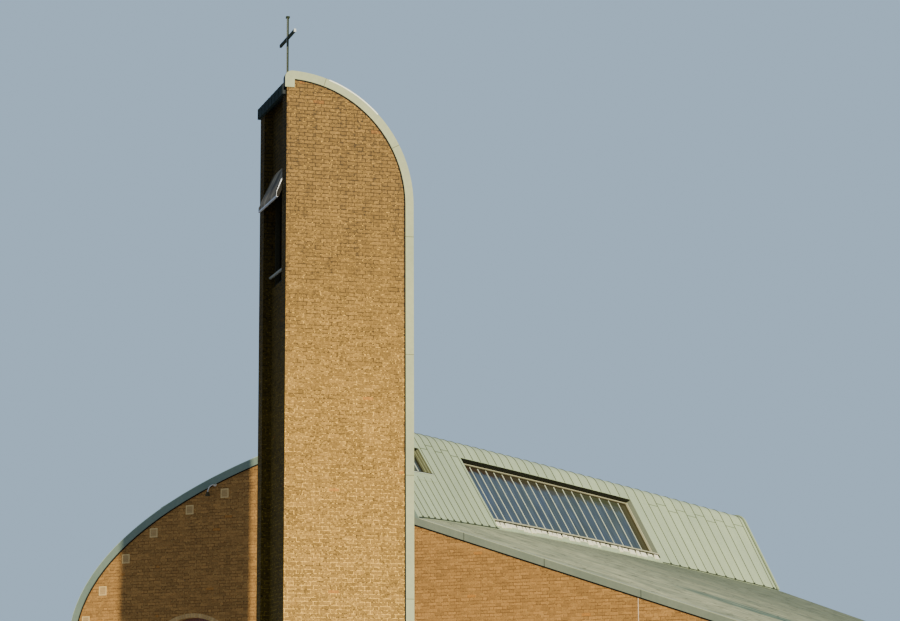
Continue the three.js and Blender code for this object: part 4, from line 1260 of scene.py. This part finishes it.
def hood_metal():
    """Dark grey sheet, paler in long smears. The cheek that turns to the broad face is black."""
    finish, shader, tree = new_finish("hood_sheet", 0.7, 0.0, 0.1)
    smears = ranged(tree, mottle(tree, (3.0, 3.0, 0.5), 1.2, 3.0), 0.4, 0.7)
    _, deep = tower_place(tree)
    at_cheek = calc(tree, "LESS_THAN", deep, CHEEK)
    smeared = blended(tree, smears, colour(84, 76, 54), colour(172, 156, 120))
    paint(tree, shader, blended(tree, at_cheek, smeared, colour(36, 32, 22)))
    return finish


dress(hood_metal(), "bell_hood")
dress(plain_finish("bell_frame_dark", colour(52, 48, 28), 0.8, 0.2), "bell_opening_frame")
dress(plain_finish("bell_rail_grey", colour(140, 138, 118), 0.8, 0.1), "bell_opening_rail")
fix_blocks("bell_hood_lip", [((-HOOD_PROUD - 0.004, LIP_INSET, HOOD_LIP - 0.006),
                              (-HOOD_PROUD + 0.028, TOWER_DEPTH - LIP_INSET, HOOD_LIP + 0.022))],
           plain_finish("lip_pale", colour(196, 196, 186), 0.5, 0.05))
cheek = bmesh.new()
outline = [(-HOOD_PROUD - 0.004, HOOD_LIP - 0.004), (-HOOD_PROUD + 0.022, HOOD_LIP - 0.004),
           (-HOOD_PROUD + 0.020, HOOD_LIP + 0.09), (-0.010, CHEEK_BEND), (0.04, CHEEK_TOP),
           (0.03, CHEEK_TOP), (-0.030, CHEEK_BEND), (-HOOD_PROUD - 0.004, HOOD_LIP + 0.094)]
upright_plate(cheek, outline, CHEEK - 0.002, CHEEK + 0.0035)
fix_on_tower("bell_hood_cheek", cheek, plain_finish("cheek_pale", colour(250, 250, 236), 0.5, 0.02))


# Cross. Square steel bars, painted dark, with painted highlights down the post's left edge and on
# the arm's end. The post stands on the tower's coping through a collar and ends in a small cap.
CROSS_X = 0.28
CROSS_Y = TOWER_DEPTH / 2.0
CROSS_HALF = 0.02
COLLAR_HALF = 0.05
CAP_HALF = 0.035
COLLAR_LOW = 15.706
COLLAR_TOP = 15.73
CAP_LOW = 17.11
CAP_TOP = 17.149
HIGHLIGHT_TOP = 17.10
ARM_END = 0.607
ARM_HALF = 0.022
ARM_LOW = 16.658
ARM_TOP = 16.722

cross_dark = plain_finish("cross_dark", colour(44, 50, 26), 0.85, 0.2)
dress(cross_dark, "cross")
fix_blocks("cross_cap_and_collar", [
    ((CROSS_X - COLLAR_HALF, CROSS_Y - COLLAR_HALF, COLLAR_LOW),
     (CROSS_X + COLLAR_HALF, CROSS_Y + COLLAR_HALF, COLLAR_TOP)),
    ((CROSS_X - CAP_HALF, CROSS_Y - CAP_HALF, CAP_LOW),
     (CROSS_X + CAP_HALF, CROSS_Y + CAP_HALF, CAP_TOP)),
], cross_dark)
# Pale strips on the post's left edge and the arm's end are painted highlights.
fix_blocks("cross_painted_highlight", [
    ((CROSS_X - CROSS_HALF - 0.002, CROSS_Y - CROSS_HALF - 0.002, COLLAR_TOP),
     (CROSS_X - CROSS_HALF + 0.001, CROSS_Y - CROSS_HALF + 0.008, HIGHLIGHT_TOP)),
    ((CROSS_X - ARM_HALF, CROSS_Y - ARM_END, ARM_LOW),
     (CROSS_X + ARM_HALF, CROSS_Y - ARM_END + 0.012, ARM_TOP)),
], plain_finish("cross_highlight_pale", colour(190, 196, 180), 0.5, 0.05))


# Wall lamp. A steel swan-neck arm, fixed to the front gable by a round plate, carries a small dark
# shade out under the coping.
LAMP_FOOT = Vector((-7.2, FRONT, 9.16))
ARM_TURN = Vector((-0.5, -0.866, 0.0))
ARM_REACH = 0.2
ARM_THICK = 0.013
PLATE_RADIUS = 0.05
PLATE_THICK = 0.02
PLATE_OUT = 0.012
SHADE_FOOT_RADIUS = 0.065
SHADE_TOP_RADIUS = 0.03
SHADE_HIGH = 0.1
SHADE_DROP = 0.045

lamp = bmesh.new()
arm_start = Matrix.Translation(LAMP_FOOT) @ ARM_TURN.to_track_quat("Z", "Y").to_matrix().to_4x4()
ring = bmesh.ops.create_circle(lamp, segments=10, radius=ARM_THICK, matrix=arm_start)
edges = list({edge for vert in ring["verts"] for edge in vert.link_edges})
bmesh.ops.spin(lamp, geom=[*ring["verts"], *edges], cent=LAMP_FOOT - UP * ARM_REACH,
               axis=(-ARM_TURN.y, ARM_TURN.x, 0.0), angle=math.pi / 2.0, steps=12)
plate_middle = LAMP_FOOT - Vector((0.0, PLATE_OUT, 0.0))
plate_turn = Matrix.Rotation(math.pi / 2.0, 4, "X")
bmesh.ops.create_cone(lamp, cap_ends=True, segments=16, radius1=PLATE_RADIUS, radius2=PLATE_RADIUS,
                      depth=PLATE_THICK, matrix=Matrix.Translation(plate_middle) @ plate_turn)
lamp_arm = fix_piece("wall_lamp_arm", lamp, plain_finish("lamp_pale", colour(206, 200, 176), 0.5, 0.05))
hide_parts("wall_lamp")
shade = bmesh.new()
shade_middle = LAMP_FOOT + ARM_TURN * ARM_REACH - UP * (ARM_REACH + SHADE_DROP)
bmesh.ops.create_cone(shade, cap_ends=True, segments=20, radius1=SHADE_FOOT_RADIUS,
                      radius2=SHADE_TOP_RADIUS, depth=SHADE_HIGH,
                      matrix=Matrix.Translation(shade_middle))
fix_piece("wall_lamp_shade", shade, plain_finish("lamp_dark", colour(70, 62, 34), 0.8, 0.1))
